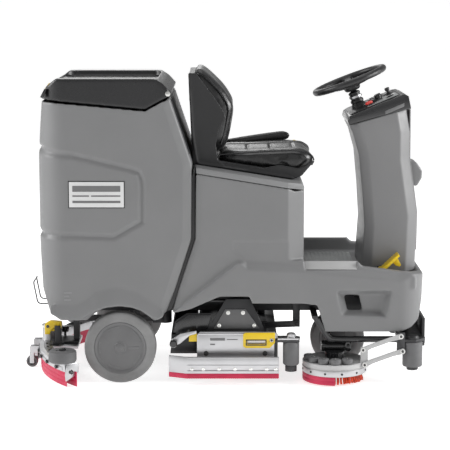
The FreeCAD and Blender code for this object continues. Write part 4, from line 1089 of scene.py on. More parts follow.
def build_steering():
    count = 96
    ring_path = []
    for k in range(count):
        turn = 2 * math.pi * k / count
        ring_path.append((162 * math.cos(turn), 162 * math.sin(turn), 0))
    bm = bmesh.new()
    rings = []
    for k, point in enumerate(ring_path):
        turn = 2 * math.pi * k / count
        out = Vector((math.cos(turn), math.sin(turn), 0))
        ripple = 0.9 * max(0.0, math.cos(turn * 36)) if math.cos(turn * 3 + 0.5) > -0.2 else 0
        section = []
        for j in range(20):
            t = 2 * math.pi * j / 20
            finger = ripple if math.sin(t) < 0 else 0
            radius = 15.4 - finger
            section.append(
                bm.verts.new(
                    Vector(point) + out * radius * math.cos(t) + Vector((0, 0, radius * math.sin(t)))
                ),
            )
        rings.append(section)
    skin(bm, rings, closed_along=True)
    rim = from_bmesh("wheel_rim", bm)
    parts = [rim]
    for turn in (90, 210, 330):
        spoke = loft(
            f"spoke_{turn}",
            [
                [(28, -20, -33), (28, 20, -33), (28, 18, -20), (28, -18, -20)],
                [(75, -17, -27), (75, 17, -27), (75, 14, -14), (75, -14, -14)],
                [(125, -19, -14), (125, 19, -14), (125, 16, -2), (125, -16, -2)],
                [(158, -27, -7), (158, 27, -7), (158, 22, 6), (158, -22, 6)],
            ],
        )
        spoke.data.transform(Matrix.Rotation(math.radians(turn), 4, "Z"))
        parts.append(spoke)
    hub = lathe(
        "wheel_hub_body",
        [
            (0, -12), (26, -12), (33, -15), (37, -22), (39, -34), (36, -44), (30, -50), (12.4, -50),
            (12.4, -24), (0, -24),
        ],
        (0, 0, 0),
        "Z",
        48,
    )
    whole = joined("steering_wheel_rim", *parts, hub)
    add(whole, "REMESH", mode="VOXEL", voxel_size=2.4 * MM)
    add(whole, "SMOOTH", factor=0.5, iterations=5)
    smooth(applied(whole), 60)
    tilted(whole, STEER, (574, 0, 1322))
    piece(whole, "steering_wheel", "steering_wheel", material=M["black"])
    cap = lathe("wheel_cap", [(0, -13), (22, -13), (22, -10.5), (17, -8.4), (0, -7.4)], (0, 0, 0), "Z", 40)
    piece(smooth(tilted(cap, STEER, (574, 0, 1322))), "steering_wheel", material=M["gloss_black"])

    neck = lathe(
        "neck_boot",
        [(12, -52), (22, -56), (27, -60), (27, -66), (25, -68), (25, -92), (30, -95), (31, -104), (27, -108),
         (31, -114), (35, -122), (37, -132), (37, -146), (0, -150), (0, -26), (11.8, -26)],
        (0, 0, 0), "Z", 48,
    )
    tilted(neck, STEER, (574, 0, 1322))
    floor_cut = box("neck_trim", (480, 780), (-120, 120), (1000, 1180))
    cut(neck, floor_cut)
    piece(smooth(neck, 40), "chassis", "steering_neck", material=M["black"])
    collar = lathe(
        "neck_collar", [(27.6, -75), (30.5, -75), (30.5, -84), (27.6, -84)], (0, 0, 0), "Z", 48, closed=True
    )
    piece(smooth(tilted(collar, STEER, (574, 0, 1322))), "chassis", material=M["silver"])


def build_dash():
    bezel = copy_of("dash_bezel", "bezel_moulding")
    add(bezel, "BEVEL", width=6 * MM, segments=4, limit_method="ANGLE", angle_limit=math.radians(30))
    smooth(applied(bezel), 45)
    piece(bezel, "chassis", "dash_bezel", material=M["gloss_black"])
    inset = bevel(
        prism("bezel_inset", [(722, 1196), (806, 1232), (806, 1216), (722, 1180)], -187.2, -184), 1, 2
    )
    piece(inset, "chassis", material=M["rim"])

    plate = rounded_outline([(8, -170), (248, -170), (248, 170), (8, 170)], 22)
    deck = bevel(prism("dash_panel", plate, 0, 4, plane="XY"), 1.2, 2)
    pad = bevel(
        prism(
            "dash_pad",
            rounded_outline([(92, -160), (240, -160), (240, -20), (92, -20)], 16),
            3,
            6,
            plane="XY",
        ),
        1,
        2,
    )
    painted(deck, M["black"])
    painted(pad, M["grey_panel"])
    label = slab("dash_label", (196, 232), (-84, -30), 5.9, 6.6, plane="XY")
    painted(label, M["white_label"])
    strip = [
        slab(f"mark_{i}", (100 + 11 * i, 107 + 11 * i), (-28, -23), 5.9, 6.6, plane="XY") for i in range(7)
    ]
    marks = painted(joined("dash_marks", *strip), M["yellow"])
    switch = bevel(box("dash_switch", (120, 142), (-106, -84), (5, 22)), 2, 2)
    painted(switch, M["gloss_black"])
    gauge = lathe(
        "dash_gauge", [(0, 4), (34, 4), (34, 10), (30, 12), (27, 10), (0, 10)], (150, 76, 0), "Z", 48
    )
    painted(smooth(gauge), M["gloss_black"])
    screen = prism(
        "dash_screen", rounded_outline([(190, 30), (234, 30), (234, 130), (190, 130)], 8), 4, 8, plane="XY"
    )
    painted(bevel(screen, 1, 2), M["rim"])
    collar = lathe(
        "stop_base",
        [(19.3, 3), (26, 3), (26, 10), (22, 12), (19.3, 12)],
        (107, -128, 0),
        "Z",
        40,
        closed=True,
    )
    painted(smooth(collar), M["black"])
    boot_base = lathe("lever_base", [(0, 3), (20, 3), (20, 8), (15, 10), (0, 10)], (205, -112, 0), "Z", 36)
    painted(smooth(boot_base), M["black"])
    whole = joined("dash_controls", deck, pad, label, marks, switch, gauge, screen, collar, boot_base)
    whole = on_dash(whole, 0, 0, 0)
    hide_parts("dash_plate")
    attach(whole, "chassis")

    button = lathe(
        "stop_head",
        [(0, 4), (9, 4), (9, 8), (17, 9), (18, 12), (17.4, 16), (13, 19.5), (6, 21), (0, 21.4)],
        (0, 0, 0),
        "Z",
        44,
    )
    piece(smooth(on_dash(button, 107, -128, 3.5), 40), "stop_button", "stop_button", material=M["red"])

    profile = [(0, 0), (18.5, 0), (18.5, 4), (15, 8), (14.6, 27), (12.5, 30), (0, 30)]
    knob = lathe("mode_knob_body", profile, (0, 0, 0), "Z", 48)
    grips = []
    for k in range(18):
        turn = math.radians(20 * k)
        rib = box(f"knob_rib_{k}", (13.6, 15.9), (-0.9, 0.9), (8, 26))
        rib.data.transform(Matrix.Rotation(turn, 4, "Z"))
        grips.append(rib)
    piece(
        smooth(on_dash(joined("mode_knob_ribbed", knob, *grips), 158, -62, 3.5), 35),
        "mode_knob",
        "mode_knob",
        material=M["gloss_black"],
    )
    pointer = on_dash(bevel(box("knob_pointer", (-2, 14), (-2, 2), (29.5, 31.4)), 0.5, 2), 158, -62, 3.5)
    piece(pointer, "mode_knob", material=M["white_label"])

    bellows = [(0, 10)]
    for k in range(3):
        radius = 15 - 2 * k
        bellows += [(radius, 11 + 5 * k), (radius, 12.5 + 5 * k), (radius - 4, 14 + 5 * k)]
    bellows += [(6, 26), (6, 29), (9, 31), (11, 37), (11.6, 42), (9, 45.4), (5, 46), (0, 46)]
    lever = lathe("lever_bellows", bellows, (0, 0, 0), "Z", 40)
    piece(smooth(on_dash(lever, 205, -112, 3), 35), "direction_lever", "direction_lever", material=M["black"])

    knob = lathe(
        "lift_knob",
        [(0, 90), (8, 90), (11, 96), (13.4, 104), (13.6, 112), (11, 118.5), (5, 121), (0, 121.4)],
        (334, 302, 898),
        "Z",
        40,
    )
    stem = lathe("lift_stem", [(0, 6), (5, 6), (5, 92), (0, 92)], (334, 302, 898), "Z", 24)
    eye = lathe("lift_eye", [(4.2, -5), (9, -5), (9, 5), (4.2, 5)], (334, 302, 898), "Y", 32, closed=True)
    painted(smooth(stem), M["zinc"])
    painted(smooth(eye), M["steel"])
    painted(smooth(knob), M["yellow"])
    lever = joined("lift_lever_set", knob, stem, eye)
    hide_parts("lift_lever")
    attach(lever, "lift_lever")


def build_pedal():
    x, z = 702, 492
    run = Vector((778 - x - 16, 0, 568 - z - 20)).normalized()
    pad = copy_of("pedal", "pedal_casting")
    bevel(pad, 1.2, 2)
    ribs = []
    for i in range(6):
        start = Vector((x + 18, -276, z + 22)) + run * (6 + 12.5 * i)
        normal = Vector((-run.z, 0, run.x))
        ends = [start, start + run * 5]
        rib = loft(
            f"pedal_rib_{i}",
            [[tuple(e + Vector((0, y, 0)) + normal * h) for e, h in
              ((ends[0], -1), (ends[1], -1), (ends[1], 2.2), (ends[0], 2.2))] for y in (-32, 32)],
        )
        ribs.append(rib)
    whole = joined("pedal_body", painted(pad, M["yellow"]), *[painted(rib, M["black"]) for rib in ribs])
    piece(whole, "pedal", "pedal", material=M["yellow"])
    stand = bevel(copy_of("pedal_bracket", "pedal_stand"), 0.8, 2)
    piece(stand, "chassis", "pedal_bracket", material=M["steel"])


build_seat()
build_wheels()
build_steering()
build_dash()
build_pedal()


# ---------------------------------------------------------------------------
# Frame, bumper and guard rollers
# ---------------------------------------------------------------------------

def crisp(node, body, material, width=1.0, segments=2):
    """A machined or welded part: the CAD node's mesh with eased edges."""
    obj = copy_of(node, node + "_body")
    bmesh_edit = bmesh.new()
    bmesh_edit.from_mesh(obj.data)
    bmesh.ops.dissolve_limit(
        bmesh_edit, angle_limit=math.radians(1), verts=bmesh_edit.verts, edges=bmesh_edit.edges
    )
    bmesh_edit.to_mesh(obj.data)
    bmesh_edit.free()
    add(obj, "BEVEL", width=width * MM, segments=segments, limit_method="ANGLE", angle_limit=math.radians(40))
    smooth(applied(obj), 40)
    return piece(obj, body, node, material=M[material])


def bolt(name, at, axis, radius=7, height=5, washer=True):
    """A hexagon head on a washer; axis is '+Y', '-Y', '+Z', '-Z', '+X' or '-X'."""
    sign = 1 if axis[0] == "+" else -1
    turn = {
        "X": Matrix(((0, 0, sign), (0, 1, 0), (1, 0, 0))),
        "Y": facing_y(sign),
        "Z": Matrix(((1, 0, 0), (0, 1, 0), (0, 0, sign))),
    }[axis[1]]
    head = lathe(
        name + "_head",
        [(0, 1), (radius, 1), (radius, height), (radius - 1.2, height + 1), (0, height + 1)],
        at,
        turn,
        6,
    )
    if not washer:
        return head
    disc = lathe(
        name + "_washer", [(0, -0.5), (radius * 1.5, -0.5), (radius * 1.5, 1.2), (0, 1.2)], at, turn, 24
    )
    return joined(name, head, disc)


def rubber_roller(name, at, radius, low, high, bore):
    """A smooth rubber roller on an upright pin, with eased ends."""
    profile = [(bore, low), (radius - 8, low), (radius - 3, low + 1.5), (radius, low + 6)]
    profile += [(radius, high - 6), (radius - 3, high - 1.5), (radius - 8, high), (bore, high)]
    return smooth(lathe(name, profile, at, "Z", 56, closed=True), 35)


def build_frame():
    crisp("chassis_frame", "chassis", "steel", 1.5)
    crisp("battery_pack", "chassis", "battery", 3)
    crisp("suction_turbine", "chassis", "black", 2)
    crisp("drive_fork", "drive_fork", "steel", 1.5)
    crisp("front_bumper", "chassis", "steel", 1.5)

    for sign, side in ((-1, "right"), (1, "left")):
        roller = rubber_roller(f"guard_roller_{side}_rubber", (839, sign * 378, 0), 44, 77, 189.4, 8.2)
        piece(roller, f"guard_roller_{side}", f"guard_roller_{side}", material=M["guard"])
        cap = lathe(f"guard_cap_{side}", [(0, 202), (30, 202), (30, 208), (24, 216), (14, 218), (0, 218)],
                    (839, sign * 378, 0), "Z", 40)
        piece(smooth(cap), "chassis", material=M["black"])
        foot = lathe(f"guard_foot_{side}", [(0, 62), (24, 62), (26, 66), (26, 74), (22, 76.4), (0, 76.4)],
                     (839, sign * 378, 0), "Z", 40)
        piece(smooth(foot), "chassis", material=M["black"])
        bumper = tube(
            f"guard_sleeve_{side}",
            [(420, sign * 364, 290), (470, sign * 364, 200), (500, sign * 364, 195), (770, sign * 364, 195)],
            14.2, 26, 20,
        )
        piece(smooth(bumper, 60), "chassis", material=M["gloss_black"])
    face = bevel(slab("bumper_strip", (-330, 330), (170, 184), 897, 900, plane="YZ"), 1, 2)
    piece(face, "chassis", material=M["guard"])
    bolts = [bolt(f"face_bolt_{i}", (897, y, 250), "+X", 8, 5) for i, y in enumerate((-280, -100, 100, 280))]
    piece(joined("bumper_bolts", *bolts), "chassis", material=M["zinc"])
    for sign, side in ((-1, "right"), (1, "left")):
        nuts = []
        for k in range(5):
            turn = math.radians(72 * k)
            nuts.append(
                bolt(
                    f"stub_nut_{side}_{k}",
                    (REAR_AXLE_X + 40 * math.cos(turn), sign * 311, REAR_WHEEL_R + 40 * math.sin(turn)),
                    "+Y" if sign > 0 else "-Y",
                    6,
                    4,
                ),
            )
        flange = lathe(
            f"stub_flange_{side}",
            [(0, -6), (54, -6), (54, 0), (0, 0)],
            (REAR_AXLE_X, sign * 309, REAR_WHEEL_R),
            facing_y(sign),
            40,
        )
        piece(smooth(joined(f"axle_flange_{side}", flange, *nuts)), "chassis", material=M["steel"])
    cables = []
    for i, y in enumerate((-240, -190)):
        cables.append(
            tube(
                f"battery_lead_{i}",
                [(-30, y, 622), (0, y, 660), (90, y + 20, 668), (170, y + 30, 640), (178, y + 30, 622)],
                6,
                30,
                10,
            ),
        )
    lead = joined("battery_leads", *cables)
    piece(smooth(lead, 60), "chassis", material=M["red"])


# ---------------------------------------------------------------------------
# Roller deck
# ---------------------------------------------------------------------------

def tufts(name, spots, length, radius, spread, thin=0.55):
    """Bundles of bristle as tapering tufts: spots are (root, direction)."""
    bm = bmesh.new()
    for root, direction in spots:
        root, direction = Vector(root), Vector(direction).normalized()
        side = direction.orthogonal().normalized()
        other = direction.cross(side)
        lean = Vector(
            (RNG.uniform(-spread, spread), RNG.uniform(-spread, spread), RNG.uniform(-spread, spread))
        )
        tip = root + direction * length * RNG.uniform(0.94, 1.0) + lean
        rings = []
        for centre, size in ((root, radius), (tip, radius * thin)):
            rings.append([
                bm.verts.new(centre + side * size * math.cos(t) + other * size * math.sin(t))
                for t in (math.tau * k / 5 for k in range(5))
            ])
        skin(bm, rings)
    return from_bmesh(name, bm)


def build_roller(body, x):
    core = lathe(
        body + "_core",
        [(0, -383), (12, -383), (12, -370), (40, -366), (40, 366), (12, 370), (12, 383), (0, 383)],
        (x, 0, 92),
        "Y",
        40,
    )
    painted(smooth(core, 35), M["black"])
    spots = []
    rows, per_row = 14, 46
    for r in range(rows):
        for k in range(per_row):
            y = -358 + 716 * (k + 0.5 * (r % 2)) / per_row
            twist = math.tau * r / rows + 0.9 * abs(y) / 358
            out = Vector((math.cos(twist), 0, math.sin(twist)))
            spots.append((Vector((x, y, 92)) + out * 39, out))
    brush = tufts(body + "_tufts", spots, 20.3, 4.6, 1.2, 0.9)
    painted(brush, M["bristle"])
    whole = joined(body + "_brush", brush, core)
    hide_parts(body)
    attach(whole, body)


def build_deck():
    crisp("deck_housing", "roller_deck", "steel", 1.2)
    crisp("deck_links", "deck_links", "steel", 1.0)
    crisp("deck_hopper", "deck_hopper", "black", 2.0)
    build_roller("roller_rear", 0)
    build_roller("roller_front", 132)

    cover = copy_of("deck_cover", "deck_cover_body")
    bevel(cover, 3, 3)
    painted(cover, M["silver"])
    extras = []
    for i, x in enumerate((-78, 183)):
        stud = lathe(f"cover_stud_{i}", [(0, 0), (11, 0), (11, 3), (7, 6), (0, 6.4)], (x, -398, 138),
                     facing_y(-1), 32)
        extras.append(painted(smooth(stud), M["black"]))
    rail = bevel(slab("cover_rail", (-112, 224), (222, 229), -401.5, -397), 1, 2)
    extras.append(painted(rail, M["silver"]))
    low_rail = bevel(slab("cover_low_rail", (-112, 218), (122, 127), -400, -397), 1, 2)
    extras.append(painted(low_rail, M["silver"]))
    for i, (x0, x1, z0, z1) in enumerate(((-60, 6, 196, 208), (14, 62, 199, 203), (-60, -38, 176, 182))):
        extras.append(painted(slab(f"cover_bar_{i}", (x0, x1), (z0, z1), -398.9, -397), M["rim"]))
    whole = joined("deck_cover_set", cover, *extras)
    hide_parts("deck_cover")
    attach(whole, "roller_deck")

    latch = copy_of("deck_latch", "deck_latch_body")
    bevel(latch, 2, 3)
    painted(latch, M["yellow"])
    recess = bevel(slab("latch_edge", (98, 190), (176, 204), -412.2, -410.5), 0.7, 2)
    slot_cut = slab("latch_edge_slot", (103, 185), (181, 199), -420, -400)
    cut(recess, slot_cut)
    painted(recess, M["gloss_black"])
    hub = painted(smooth(bolt("latch_bolt", (212, -411, 200), "-Y", 6, 2.2, False)), M["gloss_black"])
    whole = joined("deck_latch_set", latch, recess, hub)
    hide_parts("deck_latch")
    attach(whole, "deck_latch")

    square = bevel(slab("deck_square", (-154, -118), (190, 226), -392, -386), 1.5, 2)
    piece(square, "roller_deck", material=M["yellow"])
    for sign, side in ((-1, "right"), (1, "left")):
        panel = prism(
            f"deck_panel_{side}",
            [(-44, 238), (8, 326), (98, 326), (160, 238)],
            sign * 341 - 3,
            sign * 341 + 3,
        )
        piece(bevel(panel, 1.5, 2), "roller_deck", material=M["rim"])
        hood = prism(
            f"deck_hood_{side}",
            [(-222, 221), (-213, 267), (-161, 302), (-56, 302), (-70, 238), (-112, 221)],
            sign * 342 - 4,
            sign * 342 + 4,
        )
        piece(bevel(hood, 3, 3), "roller_deck", material=M["gloss_black"])
        bolts = [bolt(f"panel_bolt_{side}_{i}", (x, sign * 344, z), "-Y" if sign < 0 else "+Y", 6, 4)
                 for i, (x, z) in enumerate(((20, 310), (86, 310), (-20, 252), (136, 252)))]
        piece(smooth(joined(f"panel_bolts_{side}", *bolts), 30), "roller_deck", material=M["zinc"])
    arm = prism(
        "deck_left_arm",
        [(-237, 195), (-193, 226), (-120, 240), (-120, 226), (-150, 218), (-193, 181), (-229, 167)],
        -396,
        -388,
    )
    piece(bevel(arm, 2, 3), "roller_deck", material=M["silver"])
    knob = lathe("deck_knob", [(0, 0), (15, 0), (17, 6), (17, 22), (13, 28), (0, 29)], (-222, -396, 184),
                 facing_y(-1), 32)
    piece(smooth(knob), "roller_deck", material=M["gloss_black"])

    for node, material in (("skirt_rails", "silver"), ("deck_skirts", "red_rubber")):
        base = copy_of(node, node + "_body")
        bevel(base, 1.5, 2)
        painted(base, M[material])
        parts = [base]
        if node == "skirt_rails":
            for sign in (-1, 1):
                for x in (-140, -90, -20, 50, 120, 190, 230):
                    parts.append(
                        painted(
                            bolt(
                                f"rail_bolt_{sign}_{x}", (x, sign * 443, 76), "-Y" if sign < 0 else "+Y", 5,
                                3,
                            ),
                            M["zinc"],
                        ),
                    )
                for z in (66, 92, 124):
                    parts.append(
                        painted(
                            bevel(
                                slab(
                                    f"rail_rib_{sign}_{z}", (-160, 242), (z, z + 4), sign * 443.8 - 1.6,
                                    sign * 443.8 + 1.6,
                                ),
                                0.8,
                                2,
                            ),
                            M["silver"],
                        ),
                    )
        else:
            for sign in (-1, 1):
                for k in range(44):
                    x = -160 + k * 9.2
                    parts.append(
                        painted(
                            box(
                                f"lip_rib_{sign}_{k}",
                                (x, x + 3),
                                sorted((sign * 440.6, sign * 442.6)),
                                (34, 52),
                            ),
                            M["red_rubber"],
                        ),
                    )
        whole = joined(node + "_set", *parts)
        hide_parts(node)
        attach(whole, "roller_deck")

    roller = rubber_roller("deck_roller_rubber", (299, -390, 0), 36, 86.5, 191.8, 8.2)
    piece(roller, "deck_roller", "deck_roller", material=M["guard"])
    bracket = prism(
        "deck_roller_arm",
        [(238, -420), (330, -420), (338, -404), (338, -378), (322, -366), (238, -366)],
        203,
        212,
        plane="XY",
    )
    lug = lathe(
        "deck_roller_cap", [(0, 212), (20, 212), (20, 224), (15, 229), (0, 229)], (299, -390, 0), "Z", 32
    )
    piece(
        smooth(joined("deck_roller_bracket", bevel(bracket, 2, 3), lug), 40),
        "roller_deck",
        material=M["silver"],
    )


# ---------------------------------------------------------------------------
# Side deck
# ---------------------------------------------------------------------------

SIDE = (495, -332)


def polar(angle, radius, centre=SIDE):
    turn = math.radians(angle)
    return centre[0] + radius * math.cos(turn), centre[1] + radius * math.sin(turn)


def build_link(name, body, start, end, y):
    """A bent link bar with an eye and a thin ring at each end."""
    run = Vector((end[0] - start[0], end[1] - start[1]))
    along = run.normalized()
    side = Vector((-along.y, along.x))
    stations = ((0, 0, 12), (0.2, 3.5, 9.5), (0.75, 3.5, 9.5), (1, 0, 12))
    upper = [Vector(start) + run * t + side * (lift + wide) for t, lift, wide in stations]
    lower = [Vector(start) + run * t + side * (lift - wide) for t, lift, wide in stations]
    bar = prism(name + "_bar", [tuple(p) for p in upper + lower[::-1]], y + 0.8, y + 8.2)
    parts = [painted(bevel(bar, 1.2, 2), M["white"])]
    for i, (x, z) in enumerate((start, end)):
        eye = lathe(
            f"{name}_eye_{i}", [(6.2, 0), (12, 0), (12, 9), (6.2, 9)], (x, y, z), "Y", 36, closed=True
        )
        parts.append(painted(smooth(eye), M["white"]))
        ring = lathe(
            f"{name}_brass_{i}",
            [(6.4, -1.2), (10, -1.2), (10, 0.6), (6.4, 0.6)],
            (x, y, z),
            "Y",
            32,
            closed=True,
        )
        parts.append(painted(smooth(ring), M["zinc"]))
    whole = joined(name + "_set", *parts)
    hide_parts(name)
    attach(whole, body)


def build_side_deck():
    centre = (*SIDE, 0)
    ring = lathe(
        "carrier_ring",
        [(14.2, 86), (133, 86), (133, 46), (141, 46), (142, 50), (142, 72), (139, 74), (139, 77), (142, 79),
         (142, 96), (139, 99), (120, 99), (118, 97), (60, 97), (58, 99), (14.2, 99)],
        centre, "Z", 96, closed=True,
    )
    painted(smooth(ring, 30), M["white"])
    band = lathe(
        "carrier_band",
        [(141, 48), (143, 48), (143.4, 50), (143.4, 70), (143, 72), (141, 72)],
        centre,
        "Z",
        96,
        closed=True,
    )
    painted(smooth(band, 30), M["silver"])
    base = copy_of("side_carrier", "carrier_lugs")
    keep = box("carrier_keep", (578, 660), (-430, -396), (60, 200))
    add(base, "BOOLEAN", operation="INTERSECT", object=keep, solver="EXACT")
    applied(base)
    bpy.data.objects.remove(keep)
    painted(bevel(base, 1, 2), M["white"])
    parts = [ring, band, base]
    for k in range(12):
        x, y = polar(30 * k + 10, 143)
        out = Vector((x - SIDE[0], y - SIDE[1], 0)).normalized()
        turn = Vector((0, 0, 1)).rotation_difference(out).to_matrix()
        screw = lathe(f"ring_screw_{k}", [(0, 0), (5, 0), (5, 2), (3, 3.2), (0, 3.2)], (x, y, 60), turn, 20)
        parts.append(painted(smooth(screw), M["black"]))
    for i, (x, z) in enumerate(((624, 91), (616, 158))):
        parts.append(painted(bolt(f"link_nut_{i}", (x, -423, z), "-Y", 6, 5, False), M["gloss_black"]))
    stay = bevel(
        prism("carrier_stay", [(470, 99), (560, 99), (548, 138), (520, 150), (492, 138)], -226, -218),
        1.5,
        2,
    )
    parts.append(painted(stay, M["white"]))
    whole = joined("side_carrier_set", *parts)
    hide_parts("side_carrier")
    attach(whole, "side_deck")

    skirt = lathe(
        "side_skirt_rubber",
        [
            (137, 10), (141.6, 9), (142.4, 12), (142.4, 26), (141.2, 28), (142.2, 30), (142.2, 44),
            (141, 46), (137, 46),
        ],
        centre,
        "Z",
        60,
        closed=True,
        sweep=176,
        start=92,
    )
    piece(smooth(skirt, 35), "side_deck", "side_skirt", material=M["red_rubber"])

    motor_parts = []
    gearbox = lathe(
        "gearbox",
        [(0, 99), (44, 99), (44, 104), (41, 106), (41, 128), (44, 130), (44, 134), (38, 138), (0, 138)],
        centre,
        "Z",
        48,
    )
    drum_profile = [
        (0, 0), (22, 0), (25, 4), (25, 100), (21, 102), (21, 112), (25, 114), (25, 128), (20, 134), (0, 134)
    ]
    drum = lathe("motor_drum", drum_profile, (437, -304, 151), "X", 40)
    motor_parts += [gearbox, drum]
    for k in range(9):
        fin = lathe(
            f"motor_fin_{k}",
            [(24, 0), (27, 0), (27, 3), (24, 3)],
            (447 + 10 * k, -304, 151),
            "X",
            40,
            closed=True,
        )
        motor_parts.append(fin)
    eye = lathe("motor_eye", [(7, -4), (14, -4), (14, 4), (7, 4)], (556, -330, 160), "Y", 32, closed=True)
    motor_parts.append(eye)
    piece(
        smooth(joined("side_motor_set", *motor_parts), 35),
        "side_deck",
        "side_motor",
        material=M["gloss_black"],
    )

    spots = []
    for ring_radius, count, lean in ((88, 40, 0.5), (102, 48, 0.62), (113, 56, 0.8)):
        for k in range(count):
            angle = 360 * k / count + ring_radius
            x, y = polar(angle, ring_radius)
            out = Vector((x - SIDE[0], y - SIDE[1], 0)).normalized()
            spots.append(((x, y, 50), out * lean * 0.38 + Vector((0, 0, -1))))
    brush = painted(tufts("side_tufts", spots, 43, 4.4, 2.2, 1.15), M["bristle"])
    back = lathe(
        "brush_back",
        [(0, 46), (120, 46), (122, 50), (122, 56), (60, 62), (14, 64), (14, 97), (0, 97)],
        centre,
        "Z",
        72,
    )
    painted(smooth(back), M["black"])
    whole = joined("side_brush_set", brush, back)
    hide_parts("side_brush")
    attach(whole, "side_brush")

    guides = []
    for i, angle in enumerate((188, 215, 242, 269, 296)):
        x, y = polar(angle, 114)
        wheel = lathe(
            f"guide_wheel_{i}",
            [
                (0, 99.5), (19, 99.5), (24, 102), (25, 106), (25, 118), (23, 122), (17, 124), (9, 124),
                (9, 121), (0, 121),
            ],
            (x, y, 0),
            "Z",
            36,
        )
        guides.append(painted(smooth(wheel, 35), M["guard"]))
        guides.append(painted(bolt(f"guide_bolt_{i}", (x, y, 121), "+Z", 5.5, 4, False), M["zinc"]))
    whole = joined("side_guides", *guides)
    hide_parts("side_guide_rollers")
    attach(whole, "side_deck")

    build_link("side_lower_link", "side_lower_link", (624, 91), (791, 152), -422)
    build_link("side_upper_link", "side_upper_link", (616, 158), (783, 219), -422)
    nuts = [
        bolt(f"front_nut_{i}", (x, -423, z), "-Y", 6, 5, False)
        for i, (x, z) in enumerate(((791, 152), (783, 219)))
    ]
    piece(joined("front_link_nuts", *nuts), "chassis", material=M["gloss_black"])


# ---------------------------------------------------------------------------
# Suction bar
# ---------------------------------------------------------------------------

BAR_CENTRE = -80


def curved_bar(name, radius, section, reach, count=48):
    """A section of (outward, up) corners carried along the bar's curve."""
    limit = math.asin(reach / radius)
    sections = []
    for k in range(count + 1):
        turn = -limit + 2 * limit * k / count
        sections.append([
            (BAR_CENTRE - (radius + a) * math.cos(turn), (radius + a) * math.sin(turn), b) for a, b in section
        ])
    return loft(name, sections)


